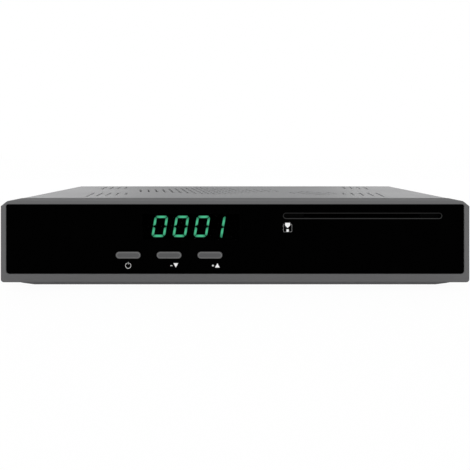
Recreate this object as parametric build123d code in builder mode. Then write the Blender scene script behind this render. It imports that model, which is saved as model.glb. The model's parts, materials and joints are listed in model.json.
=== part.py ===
# Satellite television receiver: a flat steel case behind a deep moulded front.
#
# Millimetres. +Z is up and the front looks along -Y. The origin lies under the
# middle of the whole object, on the surface that its feet stand on. Depths are
# counted backwards from the front edge of the moulded bezel.

from build123d import *
from math import cos, pi, radians, sin, tan
import os

os.makedirs("parts", exist_ok=True)

# ---------------------------------------------------------------- overall size
body_width = 220
body_height = 42
case_depth = 150
bezel_depth = 22.8
foot_height = 3.6
socket_reach = 10

# ------------------------------------------------------------------ clearances
seam = 0.2
slip = 0.1
running = 0.05
air = 0.3

# -------------------------------------------------------------- sheet and bend
sheet = 0.8
bend = 2
cover_inset = 1.7

# ---------------------------------------------------------------- front bezel
bezel_wall = 2
bezel_bottom = 3.9
side_band = 2.55
top_band = 1.5
bottom_band = 4
corner_width = 2.9
corner_height = 2.4
low_corner = 1.5
top_edge = 1
front_edge = 0.35
chin_drop = 1.2
chin_half = 94.5
chin_slope = 7
chin_bevel = 0.8
web = 1.6
hook_width = 8
hook_height = 1.4
hook_barb = 0.7
hook_barb_length = 2.6
hook_root = 8
hook_reach = 4
hook_pitch = 80

# ----------------------------------------------------------------- front panel
window_recess = 0.6
window_thick = 1.8
window_top_radius = 1
window_low_radius = 1.6

# --------------------------------------------------------------------- buttons
button_length = 11.7
button_height = 3.3
button_pitch = 19.2
button_middle = -31
button_above_edge = 8.71
button_sunk = 0.1
button_edge = 0.35
button_travel = 0.4
button_flange = 1.1
button_flange_thick = 1
stem_radius = 1.5

# ----------------------------------------------------------- switches on board
switch_size = 5
switch_thick = 3.5
plunger_radius = 1.7
plunger_out = 1.5
plunger_in = 1.4
plunger_room = 0.4
leg_width = 0.7
leg_length = 2.4

# --------------------------------------------------------------------- display
digit_pitch = 9.95
digit_first = -35.6
one_shift = -2.7
one_drop = 0.35
one_reach = 0.65
digit_drop = 10.63
digit_width = 5.3
digit_height = 9
digit_stroke = 1.05
digit_gap = 0.2
digit_cut = 0.8
digit_slant = 9.5
segment_thick = 0.25
display_length = 46
display_height = 12.4
display_setback = 0.6
receiver_x = 8
receiver_width = 6
receiver_height = 7.5
receiver_body = 3
receiver_lens = 1.2

# ------------------------------------------------------------------- card slot
slot_side = 12.7
slot_drop = 5.43
slot_length = 74.8
slot_height = 2.9
slot_rim = 0.35
slot_recess = 2.6
slot_proud = 0.12
guide_flange = 1.6
guide_flange_thick = 1
card_width = 55
card_gap = 1.6
guide_wall = 1.5
guide_reach = 11.5

# ----------------------------------------------------------------- front board
board_thick = 1.6
board_depth = 12
board_margin = 4
board_bottom = 7.5
board_clear = 1.6
tab_margin = 6
boss_radius = 2.6
boss_inset = 9
boss_low = 4
pilot_radius = 1.05

# -------------------------------------------------------------- screws and nuts
shank_sides = 8
head_sides = 16
round_sides = 24
small_screw_radius = 1
small_head_radius = 2
small_head = 1.3
small_length = 6
screw_radius = 1.5
head_radius = 2.8
head_height = 1.5
screw_length = 5
side_screw_inset = 24
side_screw_height = 14
lip_screw_x = 72

# ------------------------------------------------------------------------ tray
tray_wall = 14
stand_radius = 3
stand_height = 4
air_corner_share = 0.3
floor_slot_length = 26
floor_slot_width = 2.4
floor_slot_pitch = 6
floor_slot_count = 9

# ------------------------------------------------------------------ main board
main_front = 32
main_margin = 3
main_rear_gap = 0.6
stand_inset_x = 8
stand_inset_y = 7

# ------------------------------------------------------------------- top cover
cover_above = 0.4
lip_height = 6
vent_width = 1.2
vent_pitch = 4.5
vent_lean = 9
leaf_x = -17
leaf_behind = 7.6
leaf_width = 81
leaf_count = 21
leaf_long = 80
leaf_short = 24
leaf_gather = 0.1
small_leaf_x = 44
small_leaf_depth = 66
small_leaf_width = 22
small_leaf_count = 6
small_leaf_long = 40
small_leaf_short = 18
pair_lean = 5
pair_front_x = 61
pair_front_near = 34
pair_front_far = 70
pair_front_step = 5
pair_front_count = 5
pair_rear_x = 72
pair_rear_inset = 10
pair_rear_length = 32
pair_rear_step = 3
pair_rear_count = 4
side_vent_length = 14
side_vent_width = 2
side_vent_pitch = 5
side_vent_count = 9

# ---------------------------------------------------------------- rear panel
panel_flange = 8

# ------------------------------------------------------------------------ feet
foot_radius = 6.2
foot_inset_x = 18
foot_front_depth = 34
foot_rear_inset = 17

# ---------------------------------------------------------------- tuner module
tuner_width = 56
tuner_length = 50
tuner_height = 17
tuner_wall = 0.6
tuner_margin = 16
tuner_lid_skirt = 2
tuner_slot_length = 16
tuner_slot_width = 3
tuner_slot_pitch = 9
tuner_slot_count = 4
aerial_radius = 4.76
aerial_neck = 4.6
aerial_pitch = 24
aerial_height = 9.5
aerial_tail = 3
aerial_tail_radius = 3
aerial_bore = 3.2
insulator_recess = 0.5
insulator_length = 7
centre_hole = 0.55
nut_across = 12
nut_height = 2.5

# ------------------------------------------------------------ sockets at rear
socket_proud = 0.4
socket_wall = 0.4
network_width = 16
network_height = 13.6
network_length = 20
network_mouth_width = 12
network_mouth_height = 8
network_mouth_depth = 14
network_sill = 2
network_contact = 0.5
network_pitch = 1.02
contact_droop = 1.2
video_width = 14.4
video_height = 5.2
video_length = 12
video_taper = 1.4
video_lift = 1.2
data_width = 13.4
data_height = 6
data_length = 15
data_lift = 1.2
tongue_thick = 1.4
tongue_setback = 1.5
optical_width = 10
optical_length = 13
optical_mouth = 7.4
optical_depth = 9
optical_sill = 1.2
shutter_thick = 0.8
shutter_pin = 0.45
shutter_pin_length = 0.7
shutter_setback = 1
audio_width = 8
audio_length = 14
audio_bore = 1.8
audio_bore_length = 12
audio_collar = 3
power_width = 9.5
power_height = 11
power_length = 14
power_bore = 3
power_bore_length = 9.5
power_pin_radius = 1

# ---------------------------------------------------------------- power switch
rocker_margin = 16
rocker_height = 22
rocker_cut_width = 19.4
rocker_cut_height = 13.2
rocker_rim = 1.1
rocker_rim_thick = 1.2
rocker_body_depth = 12
rocker_radius = 6.9
rocker_tall = 9.2
rocker_tilt = 8
rocker_pivot_depth = 0.6
rocker_skirt = 2.4
rocker_pocket_depth = 5.2
rocker_pin_radius = 0.75
rocker_pin_hold = 1
rocker_crown = 2.4

# ---------------------------------------------------------------- chips etc.
processor_x = 8
processor_forward = 2
processor_size = 27
processor_thick = 2.2
sink_size = 38
sink_base = 2.4
sink_fin = 1.2
sink_fin_count = 9
sink_fin_height = 12
memory_gap = 3
memory_behind = 9
memory_width = 9
memory_length = 13
memory_thick = 1.2
memory_pitch = 14
can_radius = 4
can_sides = 16
can_height = 12
can_pitch = 11
can_count = 4
can_gap = 3
can_inset = 12
coil_size = 8
coil_height = 4.2
coil_pitch = 12
coil_gap = 3
coil_count = 3

# --------------------------------------------------------------- ribbon cable
ribbon_inset = 20.4
ribbon_width = 20
ribbon_thick = 0.6
ribbon_bend = 3
ribbon_high = 12
ribbon_over = 1.5
ribbon_low = 2.2
ribbon_in = 1.5
ribbon_socket_height = 4.4
ribbon_socket_length = 5
ribbon_socket_margin = 2

# ---------------------------------------------------------------- card reader
reader_wall = 3
reader_floor = 1.4
reader_length = 58
reader_lid = 0.5
reader_leg = 2.2
reader_leg_inset = 5
reader_leg_front = 22
contact_width = 1.2
contact_length = 4
contact_pitch = 2.54
contact_depth = 30

# ============================================================ derived places
front_y = -(case_depth + socket_reach) / 2
back_y = front_y + case_depth
bezel_back = front_y + bezel_depth
panel_face = back_y - sheet
panel_inner = panel_face - sheet
socket_face = panel_face + socket_proud

window_width = body_width - 2 * side_band
window_low = bezel_bottom + bottom_band
window_high = body_height - top_band
window_height = window_high - window_low
window_z = (window_high + window_low) / 2
window_back = window_recess + window_thick
web_back = window_back + web

floor_top = foot_height + sheet
main_low = floor_top + stand_height
main_top = main_low + board_thick
cover_width = body_width - 2 * cover_inset
cover_underside = body_height - sheet
tray_width = cover_width - 2 * (sheet + air)
tray_inside = tray_width - 2 * sheet

button_z = window_low + button_above_edge
button_places = [button_middle + step * button_pitch for step in (-1, 0, 1)]
flange_depth = web_back + air
plunger_tip = board_depth - switch_thick - plunger_out
digit_z = window_high - digit_drop
display_x = digit_first + 1.5 * digit_pitch
display_depth = window_back + display_setback
slot_x = body_width / 2 - slot_side - slot_length / 2
slot_z = window_high - slot_drop
board_low_top = slot_z - card_gap / 2 - guide_wall - board_clear
boss_rise = board_low_top - board_bottom - 2 * boss_low
board_back = board_depth + board_thick
board_width = body_width - 2 * (bezel_wall + board_margin)

main_width = tray_inside - 2 * main_margin
main_start = front_y + main_front
main_end = panel_inner - main_rear_gap
main_length = main_end - main_start
main_middle = (main_start + main_end) / 2
stand_span_x = main_width - 2 * stand_inset_x
stand_span_y = main_length - 2 * stand_inset_y

tuner_x = -(tray_inside / 2 - tuner_margin - tuner_width / 2)
aerial_z = main_top + aerial_height
aerial_places = [tuner_x - aerial_pitch / 2, tuner_x + aerial_pitch / 2]
socket_tip = back_y + socket_reach
nut_back = panel_face + nut_height

rocker_x = tray_inside / 2 - rocker_margin
ribbon_x = -(stand_span_x / 2 - ribbon_inset)

# the sockets between the tuner and the power switch share the room evenly
socket_widths = [network_width, video_width, data_width, optical_width, audio_width, power_width]
sockets_start = tuner_x + tuner_width / 2
sockets_end = rocker_x - rocker_cut_width / 2 - rocker_rim
socket_gap = (sockets_end - sockets_start - sum(socket_widths)) / (len(socket_widths) + 1)
socket_places = [
    sockets_start + sum(socket_widths[:count]) + (count + 1) * socket_gap + socket_widths[count] / 2
    for count in range(len(socket_widths))
]
network_x, video_x, data_x, optical_x, audio_x, power_x = socket_places
rocker_pivot_y = panel_face + rocker_rim_thick - rocker_pivot_depth


# Plane through this y: sketch x is X and sketch y is Z. A negative extrusion
# from it runs backwards, away from the front.
def upright(y):
    return Plane.XZ.offset(-y)


# The same plane, counted from the front edge.
def facing(depth):
    return upright(front_y + depth)


# A block with its front at this y, standing on this height.
def block(x, y, z, width, length, height, mode=Mode.ADD):
    with BuildSketch(Plane.XY.offset(z)) as footing:
        with Locations((x, y + length / 2)):
            Rectangle(width, length)
    extrude(footing.sketch, amount=height, mode=mode)


# A slot for air: its ends are cut to a blunt point.
def air_slot(length, width, rotation=0):
    half_length = length / 2
    half_width = width / 2
    cut = air_corner_share * width
    right_end = [
        (half_length - cut, half_width),
        (half_length, half_width - cut),
        (half_length, cut - half_width),
        (half_length - cut, -half_width),
    ]
    left_end = [(-x, -y) for x, y in right_end]
    Polygon(*right_end, *left_end, rotation=rotation, align=None)


# Threads are left out, so a shank and the holes that it passes have flat sides.
def shank(radius, mode=Mode.ADD):
    RegularPolygon(radius, shank_sides, mode=mode)


# ================================================================ front bezel
boss_x = board_width / 2 - boss_inset
boss_z = board_bottom + boss_low + boss_rise / 2

with BuildPart() as front_bezel:
    half = body_width / 2
    with BuildSketch(facing(0)) as outline:
        with BuildLine():
            Polyline(
                (-half, bezel_bottom),
                (-half, body_height - corner_height),
                (corner_width - half, body_height),
                (half - corner_width, body_height),
                (half, body_height - corner_height),
                (half, bezel_bottom),
                close=True,
            )
        make_face()
        fillet(outline.vertices().group_by(Axis.Y)[0], low_corner)
    extrude(amount=-bezel_depth)
    rim = front_bezel.faces().sort_by(Axis.Y)[0].edges()
    crown = rim.sort_by(Axis.Z)[-1]
    chamfer(crown, top_edge)
    skirt = front_bezel.faces().sort_by(Axis.Y)[0].edges().sort_by(Axis.Z)[:-1]
    chamfer(skirt, front_edge)
    # chin: a shallow skirt under the front, its ends sloping up
    with BuildSketch(facing(chin_bevel)) as chin:
        with BuildLine():
            Polyline(
                (-chin_half - chin_slope, bezel_bottom),
                (-chin_half, bezel_bottom - chin_drop),
                (chin_half, bezel_bottom - chin_drop),
                (chin_half + chin_slope, bezel_bottom),
                close=True,
            )
        make_face()
    extrude(amount=-(bezel_depth - chin_bevel))
    chin_front = front_bezel.edges().filter_by(Axis.X).group_by(Axis.Z)[0]
    chamfer(chin_front.sort_by(Axis.Y)[0], chin_bevel)
    # hollow behind the web
    with BuildSketch(facing(web_back)):
        add(outline.sketch_local)
        offset(amount=-bezel_wall, kind=Kind.INTERSECTION)
    extrude(amount=-(bezel_depth - web_back), mode=Mode.SUBTRACT)
    # pocket for the window
    with BuildSketch(facing(0)) as pocket:
        with Locations((0, window_z)):
            Rectangle(window_width + 2 * slip, window_height + 2 * slip)
        fillet(pocket.vertices().group_by(Axis.Y)[-1], window_top_radius)
        fillet(pocket.vertices().group_by(Axis.Y)[0], window_low_radius)
    extrude(amount=-window_back, mode=Mode.SUBTRACT)
    # openings in the web
    with BuildSketch(facing(window_back)):
        with Locations((display_x, digit_z)):
            Rectangle(display_length + 2 * air, display_height + 2 * air)
        with Locations((receiver_x, button_z)):
            Rectangle(receiver_width + 2 * air, receiver_height + 2 * air)
        with Locations([(x, button_z) for x in button_places]):
            SlotOverall(button_length + 2 * air, button_height + 2 * air)
        with Locations((slot_x, slot_z)):
            SlotOverall(slot_length + 2 * slip, slot_height + 2 * slip)
    extrude(amount=-web, mode=Mode.SUBTRACT)
    # bosses that the front board is screwed to
    with BuildSketch(facing(web_back)):
        with Locations((0, boss_z)):
            with GridLocations(2 * boss_x, boss_rise, 2, 2):
                RegularPolygon(boss_radius, shank_sides)
                shank(pilot_radius, mode=Mode.SUBTRACT)
    extrude(amount=-(board_depth - web_back))
    # three snap hooks that reach through the front wall of the tray
    with BuildSketch(Plane.YZ) as hook:
        hook_start = bezel_back - hook_root
        hook_end = bezel_back + hook_reach
        hook_low = bezel_bottom + bezel_wall
        with BuildLine():
            Polyline(
                (hook_start, hook_low),
                (hook_end, hook_low),
                (hook_end, hook_low + hook_height),
                (hook_end - hook_barb_length, hook_low + hook_height + hook_barb),
                (hook_end - hook_barb_length, hook_low + hook_height),
                (hook_start, hook_low + hook_height),
                close=True,
            )
        make_face()
    hook_bar = extrude(amount=hook_width / 2, both=True, mode=Mode.PRIVATE)
    with GridLocations(hook_pitch, 1, 3, 1):
        add(hook_bar)
front_bezel.part.label = "front_bezel"
export_step(front_bezel.part, "parts/front_bezel.step")

# =============================================================== front window
with BuildPart() as front_window:
    with BuildSketch(facing(window_recess)) as pane:
        with Locations((0, window_z)):
            Rectangle(window_width, window_height)
        fillet(pane.vertices().group_by(Axis.Y)[-1], window_top_radius)
        fillet(pane.vertices().group_by(Axis.Y)[0], window_low_radius)
        with Locations([(x, button_z) for x in button_places]):
            SlotOverall(button_length + 2 * seam, button_height + 2 * seam, mode=Mode.SUBTRACT)
        with Locations((slot_x, slot_z)):
            SlotOverall(slot_length + 2 * slip, slot_height + 2 * slip, mode=Mode.SUBTRACT)
    extrude(amount=-window_thick)
front_window.part.label = "front_window"
export_step(front_window.part, "parts/front_window.step")

# ============================================================ card slot guide
with BuildPart() as card_slot_guide:
    guide_face = window_recess - slot_proud
    with BuildSketch(facing(guide_face)):
        with Locations((slot_x, slot_z)):
            SlotOverall(slot_length, slot_height)
    extrude(amount=-(web_back - guide_face))
    with BuildSketch(facing(web_back)):
        with Locations((slot_x, slot_z)):
            Rectangle(slot_length + 2 * guide_flange, slot_height + 2 * guide_flange)
    extrude(amount=-guide_flange_thick)
    with BuildSketch(facing(web_back)):
        with Locations((slot_x, slot_z)):
            Rectangle(card_width + 2 * guide_wall, card_gap + 2 * guide_wall)
    extrude(amount=-guide_reach)
    with BuildSketch(facing(guide_face)):
        with Locations((slot_x, slot_z)):
            SlotOverall(slot_length - 2 * slot_rim, slot_height - 2 * slot_rim)
    extrude(amount=-slot_recess, mode=Mode.SUBTRACT)
    with BuildSketch(facing(guide_face)):
        with Locations((slot_x, slot_z)):
            Rectangle(card_width, card_gap)
    extrude(amount=-(web_back + guide_reach), mode=Mode.SUBTRACT)
card_slot_guide.part.label = "card_slot_guide"
export_step(card_slot_guide.part, "parts/card_slot_guide.step")

# =================================================== buttons and their plungers
button_names = ["power", "channel_down", "channel_up"]
for button_name, button_x in zip(button_names, button_places):
    with BuildPart() as button:
        with BuildSketch(facing(button_sunk)):
            with Locations((button_x, button_z)):
                SlotOverall(button_length, button_height)
        extrude(amount=-(flange_depth - button_sunk))
        chamfer(button.faces().sort_by(Axis.Y)[0].edges(), button_edge)
        with BuildSketch(facing(flange_depth)):
            with Locations((button_x, button_z)):
                Rectangle(button_length + 2 * button_flange, button_height + 2 * button_flange)
        extrude(amount=-button_flange_thick)
        with BuildSketch(facing(flange_depth)):
            with Locations((button_x, button_z)):
                shank(stem_radius)
        extrude(amount=-(plunger_tip - flange_depth))
    button.part.label = f"{button_name}_button"
    export_step(button.part, f"parts/{button_name}_button.step")

    with BuildPart() as plunger:
        with BuildSketch(facing(plunger_tip)):
            with Locations((button_x, button_z)):
                shank(plunger_radius)
        extrude(amount=-(plunger_out + plunger_in))
    plunger.part.label = f"{button_name}_plunger"
    export_step(plunger.part, f"parts/{button_name}_plunger.step")

# ========================================================== switches on board
with BuildPart() as tact_switches:
    with BuildSketch(facing(board_depth - switch_thick)):
        with Locations([(x, button_z) for x in button_places]):
            Rectangle(switch_size, switch_size)
    extrude(amount=-switch_thick)
    with BuildSketch(facing(board_depth - switch_thick)):
        with Locations([(x, button_z) for x in button_places]):
            shank(plunger_radius + running)
    extrude(amount=-(plunger_in + button_travel + plunger_room), mode=Mode.SUBTRACT)
tact_switches.part.label = "tact_switches"
export_step(tact_switches.part, "parts/tact_switches.step")

# ==================================================================== display
with BuildPart() as digit_display:
    with BuildSketch(facing(display_depth)):
        with Locations((display_x, digit_z)):
            Rectangle(display_length, display_height)
    extrude(amount=-(board_depth - display_depth))
digit_display.part.label = "digit_display"
export_step(digit_display.part, "parts/digit_display.step")


# A point of a digit, leaning to the right with its height.
def leaning(x, z):
    return (x + z * tan(radians(digit_slant)), z)


# One bar of a digit: mitred where it meets the next one, with the digit's corner cut off.
def level_bar(side):
    outer = (digit_height + digit_stroke) / 2
    inner = (digit_height - digit_stroke) / 2
    long = (digit_width + digit_stroke) / 2 - digit_gap
    short = (digit_width - digit_stroke) / 2 - digit_gap
    right_end = [(long - digit_cut, outer), (long - digit_cut / 2, outer - digit_cut / 2), (short, inner)]
    left_end = [(-x, z) for x, z in reversed(right_end)]
    Polygon(*[leaning(x, side * z) for x, z in right_end + left_end], align=None)


# An upright bar may reach further out, where no level one meets it.
def upright_bar(side, half_of_digit, reach=0):
    outer = (digit_width + digit_stroke) / 2
    inner = (digit_width - digit_stroke) / 2
    far = (digit_height + digit_stroke) / 2 - digit_gap + reach
    near = (digit_height - digit_stroke) / 2 - digit_gap + reach
    middle = digit_stroke / 2 + digit_gap
    corners = [
        (outer - digit_cut / 2, far - digit_cut / 2),
        (outer, far - digit_cut),
        (outer, digit_gap),
        (inner, middle),
        (inner, near),
    ]
    Polygon(*[leaning(side * x, half_of_digit * z) for x, z in corners], align=None)


with BuildPart() as lit_segments:
    with BuildSketch(facing(display_depth - segment_thick)):
        for place in range(3):
            with Locations((digit_first + place * digit_pitch, digit_z)):
                for side in (-1, 1):
                    level_bar(side)
                    upright_bar(side, 1)
                    upright_bar(side, -1)
        with Locations((digit_first + 3 * digit_pitch + one_shift, digit_z - one_drop)):
            upright_bar(1, 1, one_reach)
            upright_bar(1, -1, one_reach)
    extrude(amount=-segment_thick)
lit_segments.part.label = "lit_segments"
export_step(lit_segments.part, "parts/lit_segments.step")

with BuildPart() as infrared_receiver:
    receiver_face = front_y + board_depth - receiver_body
    with BuildSketch(upright(receiver_face)):
        with Locations((receiver_x, button_z)):
            Rectangle(receiver_width, receiver_height)
    extrude(amount=-receiver_body)
    # lens: a ridge along the middle
    chamfer(infrared_receiver.faces().sort_by(Axis.Y)[0].edges().filter_by(Axis.Z), receiver_lens)
infrared_receiver.part.label = "infrared_receiver"
export_step(infrared_receiver.part, "parts/infrared_receiver.step")

# ================================================================ front board
board_high = digit_z + display_height / 2 + slip
with BuildPart() as front_board:
    with BuildSketch(facing(board_depth)):
        with Locations((0, (board_bottom + board_low_top) / 2)):
            Rectangle(board_width, board_low_top - board_bottom)
        with Locations((display_x, (board_bottom + board_high) / 2)):
            Rectangle(display_length + 2 * tab_margin, board_high - board_bottom)
        with Locations((0, boss_z)):
            with GridLocations(2 * boss_x, boss_rise, 2, 2):
                shank(small_screw_radius + slip, mode=Mode.SUBTRACT)
    extrude(amount=-board_thick)
front_board.part.label = "front_board"
export_step(front_board.part, "parts/front_board.step")

with BuildPart() as front_board_screws:
    with BuildSketch(facing(board_back)):
        with Locations((0, boss_z)):
            with GridLocations(2 * boss_x, boss_rise, 2, 2):
                RegularPolygon(small_head_radius, 6)
    extrude(amount=-small_head)
    with BuildSketch(facing(board_back)):
        with Locations((0, boss_z)):
            with GridLocations(2 * boss_x, boss_rise, 2, 2):
                shank(small_screw_radius)
    extrude(amount=small_length)
front_board_screws.part.label = "front_board_screws"
export_step(front_board_screws.part, "parts/front_board_screws.step")

# ============================================================== steel chassis
feet_x = tray_width / 2 - foot_inset_x
feet_front = front_y + foot_front_depth
feet_rear = back_y - foot_rear_inset

with BuildPart() as chassis:
    tray_length = panel_face - bezel_back
    tray_middle = (panel_face + bezel_back) / 2
    with BuildSketch(Plane.XY.offset(foot_height)):
        with Locations((0, tray_middle)):
            Rectangle(tray_width, tray_length)
    extrude(amount=tray_wall)
    # folded up at the front and the sides, open at the rear
    with BuildSketch(Plane.XY.offset(floor_top)):
        with Locations((0, tray_middle + sheet)):
            Rectangle(tray_inside, tray_length)
    extrude(amount=tray_wall, mode=Mode.SUBTRACT)
    # stand-offs under the main board
    with BuildSketch(Plane.XY.offset(floor_top)):
        with Locations((0, main_middle)):
            with GridLocations(stand_span_x, stand_span_y, 2, 2):
                RegularPolygon(stand_radius, 6)
    extrude(amount=stand_height)
    with BuildSketch(Plane.XY.offset(foot_height)):
        with Locations((0, main_middle)):
            with GridLocations(stand_span_x, stand_span_y, 2, 2):
                shank(screw_radius + slip)
    extrude(amount=sheet + stand_height, mode=Mode.SUBTRACT)
    # air slots in the floor
    with BuildSketch(Plane.XY.offset(foot_height)):
        with Locations((0, tray_middle)):
            with GridLocations(2 * floor_slot_length, floor_slot_pitch, 2, floor_slot_count):
                air_slot(floor_slot_length, floor_slot_width)
    extrude(amount=sheet, mode=Mode.SUBTRACT)
    # windows for the hooks of the bezel
    with BuildSketch(upright(bezel_back)):
        with Locations((0, bezel_bottom + bezel_wall + (hook_height + hook_barb) / 2)):
            with GridLocations(hook_pitch, 1, 3, 1):
                Rectangle(hook_width + 2 * air, hook_height + hook_barb + 2 * air)
    extrude(amount=-sheet, mode=Mode.SUBTRACT)
    # holes for the screws at the sides
    side_front = bezel_back + side_screw_inset
    side_rear = panel_face - side_screw_inset
    with BuildSketch(Plane.YZ.offset(-tray_width / 2)):
        with Locations((side_front, side_screw_height), (side_rear, side_screw_height)):
            shank(screw_radius + slip)
    extrude(amount=tray_width, mode=Mode.SUBTRACT)
chassis.part.label = "chassis"
export_step(chassis.part, "parts/chassis.step")

# ================================================================= rear panel
panel_width = tray_inside - 2 * seam
panel_high = cover_underside - seam
lip_low = cover_underside - lip_height
lip_screw_z = cover_underside - lip_height / 2
panel_top_flange = panel_high - sheet
network_z = main_top + network_height / 2
video_z = main_top + video_lift + video_height / 2
data_z = main_top + data_lift + data_height / 2
optical_z = main_top + optical_width / 2
audio_z = main_top + audio_width / 2
power_z = main_top + power_height / 2

with BuildPart() as rear_panel:
    with BuildSketch(upright(panel_inner)):
        with Locations((0, (floor_top + panel_high) / 2)):
            Rectangle(panel_width, panel_high - floor_top)
        with Locations([(x, aerial_z) for x in aerial_places]):
            RegularPolygon(aerial_radius + slip, head_sides, mode=Mode.SUBTRACT)
        with Locations((network_x, network_z)):
            Rectangle(network_width + 2 * air, network_height + 2 * air, mode=Mode.SUBTRACT)
        with Locations((video_x, video_z)):
            Rectangle(video_width + 2 * air, video_height + 2 * air, mode=Mode.SUBTRACT)
        with Locations((data_x, data_z)):
            Rectangle(data_width + 2 * air, data_height + 2 * air, mode=Mode.SUBTRACT)
        with Locations((optical_x, optical_z)):
            Rectangle(optical_width + 2 * air, optical_width + 2 * air, mode=Mode.SUBTRACT)
        with Locations((audio_x, audio_z)):
            RegularPolygon(audio_collar + air, round_sides, mode=Mode.SUBTRACT)
        with Locations((power_x, power_z)):
            Rectangle(power_width + 2 * air, power_height + 2 * air, mode=Mode.SUBTRACT)
        with Locations((rocker_x, rocker_height)):
            Rectangle(rocker_cut_width, rocker_cut_height, mode=Mode.SUBTRACT)
        with Locations((-lip_screw_x, lip_screw_z), (lip_screw_x, lip_screw_z)):
            shank(screw_radius + slip, mode=Mode.SUBTRACT)
    extrude(amount=-sheet)
    # folded forwards along the top
    block(0, panel_inner - panel_flange, panel_top_flange, panel_width, panel_flange, sheet)
rear_panel.part.label = "rear_panel"
export_step(rear_panel.part, "parts/rear_panel.step")

# ================================================================== top cover
cover_low = foot_height + cover_above
cover_front = bezel_back + seam


# One slot through the top, between two depths, leaning to the left as it goes back.
def vent(x, near, far, lean):
    with Locations((x, front_y + (near + far) / 2)):
        air_slot(far - near, vent_width, rotation=90 + lean)


# Rows on both sides of the middle, leaning outwards and longer towards the sides.
def vent_pair(first_x, count, near, far, step):
    for number in range(count):
        start = near + step * (count - 1 - number)
        for side in (-1, 1):
            vent(side * (first_x + number * vent_pitch), start, far, -side * pair_lean)


# A leaf of slots that all lean the same way: longest and closest together in its middle.
def vent_leaf(middle_x, middle, width, count, short, long):
    for number in range(count):
        turn = pi * (number / (count - 1) - 1 / 2)
        x = middle_x + (turn - leaf_gather * sin(2 * turn)) * width / pi
        half_length = (short + (long - short) * cos(turn) ** 2) / 2
        vent(x, middle - half_length, middle + half_length, vent_lean)


with BuildPart() as top_cover:
    with BuildSketch(upright(cover_front)) as section:
        with Locations((0, (body_height + cover_low) / 2)):
            Rectangle(cover_width, body_height - cover_low)
        fillet(section.vertices().group_by(Axis.Y)[-1], bend)
    extrude(amount=-(back_y - cover_front))
    with BuildSketch(upright(cover_front)) as hollow:
        with Locations((0, (cover_underside + cover_low) / 2)):
            Rectangle(cover_width - 2 * sheet, cover_underside - cover_low)
        fillet(hollow.vertices().group_by(Axis.Y)[-1], bend - sheet)
    extrude(amount=-(panel_face - cover_front), mode=Mode.SUBTRACT)
    # the rear keeps only a lip along the top, folded down over the rear panel
    with BuildSketch(upright(panel_face)):
        with Locations((0, (lip_low + cover_low) / 2)):
            Rectangle(cover_width - 2 * sheet, lip_low - cover_low)
    extrude(amount=-sheet, mode=Mode.SUBTRACT)
    with BuildSketch(upright(panel_face)):
        with Locations((-lip_screw_x, lip_screw_z), (lip_screw_x, lip_screw_z)):
            shank(screw_radius + slip)
    extrude(amount=-sheet, mode=Mode.SUBTRACT)
    with BuildSketch(Plane.XY.offset(cover_underside)):
        leaf_depth = (bezel_depth + case_depth) / 2 + leaf_behind
        vent_leaf(leaf_x, leaf_depth, leaf_width, leaf_count, leaf_short, leaf_long)
        vent_leaf(
            small_leaf_x,
            small_leaf_depth,
            small_leaf_width,
            small_leaf_count,
            small_leaf_short,
            small_leaf_long,
        )
        vent_pair(pair_front_x, pair_front_count, pair_front_near, pair_front_far, pair_front_step)
        rear_far = case_depth - pair_rear_inset
        rear_near = rear_far - pair_rear_length
        vent_pair(pair_rear_x, pair_rear_count, rear_near, rear_far, pair_rear_step)
    extrude(amount=sheet, mode=Mode.SUBTRACT)
    # air slots and screw holes in both sides
    with BuildSketch(Plane.YZ.offset(-cover_width / 2)):
        with Locations((main_middle, (cover_low + cover_underside) / 2)):
            with GridLocations(side_vent_pitch, 1, side_vent_count, 1):
                air_slot(side_vent_length, side_vent_width, rotation=90)
        with Locations((side_front, side_screw_height), (side_rear, side_screw_height)):
            shank(screw_radius + slip)
    extrude(amount=cover_width, mode=Mode.SUBTRACT)
top_cover.part.label = "top_cover"
export_step(top_cover.part, "parts/top_cover.step")

# ===================================================================== screws
# Pan-head screw with its shank along the plane's normal, reversed.
def pan_screw(plane, places, length):
    with BuildSketch(plane) as head:
        with Locations(places):
            RegularPolygon(head_radius, head_sides)
    extrude(head.sketch, amount=head_height)
    with BuildSketch(plane) as stem:
        with Locations(places):
            shank(screw_radius)
    extrude(stem.sketch, amount=-length)


with BuildPart() as cover_screws:
    lip_plane = Plane(origin=(0, back_y, 0), x_dir=(-1, 0, 0), z_dir=(0, 1, 0))
    pan_screw(lip_plane, [(-lip_screw_x, lip_screw_z), (lip_screw_x, lip_screw_z)], screw_length)
cover_screws.part.label = "cover_screws"
export_step(cover_screws.part, "parts/cover_screws.step")

with BuildPart() as side_screws:
    right = Plane(origin=(cover_width / 2, 0, 0), x_dir=(0, 1, 0), z_dir=(1, 0, 0))
    left = Plane(origin=(-cover_width / 2, 0, 0), x_dir=(0, -1, 0), z_dir=(-1, 0, 0))
    pan_screw(right, [(side_front, side_screw_height), (side_rear, side_screw_height)], screw_length)
    pan_screw(left, [(-side_front, side_screw_height), (-side_rear, side_screw_height)], screw_length)
side_screws.part.label = "side_screws"
export_step(side_screws.part, "parts/side_screws.step")

with BuildPart() as board_screws:
    corners = [
        (sx * stand_span_x / 2, main_middle + sy * stand_span_y / 2)
        for sx in (-1, 1)
        for sy in (-1, 1)
    ]
    with BuildSketch(Plane.XY.offset(main_top)):
        with Locations(corners):
            RegularPolygon(head_radius, 6)
    extrude(amount=head_height)
    with BuildSketch(Plane.XY.offset(main_top)):
        with Locations(corners):
            shank(screw_radius)
    extrude(amount=-screw_length)
board_screws.part.label = "board_screws"
export_step(board_screws.part, "parts/board_screws.step")

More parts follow.
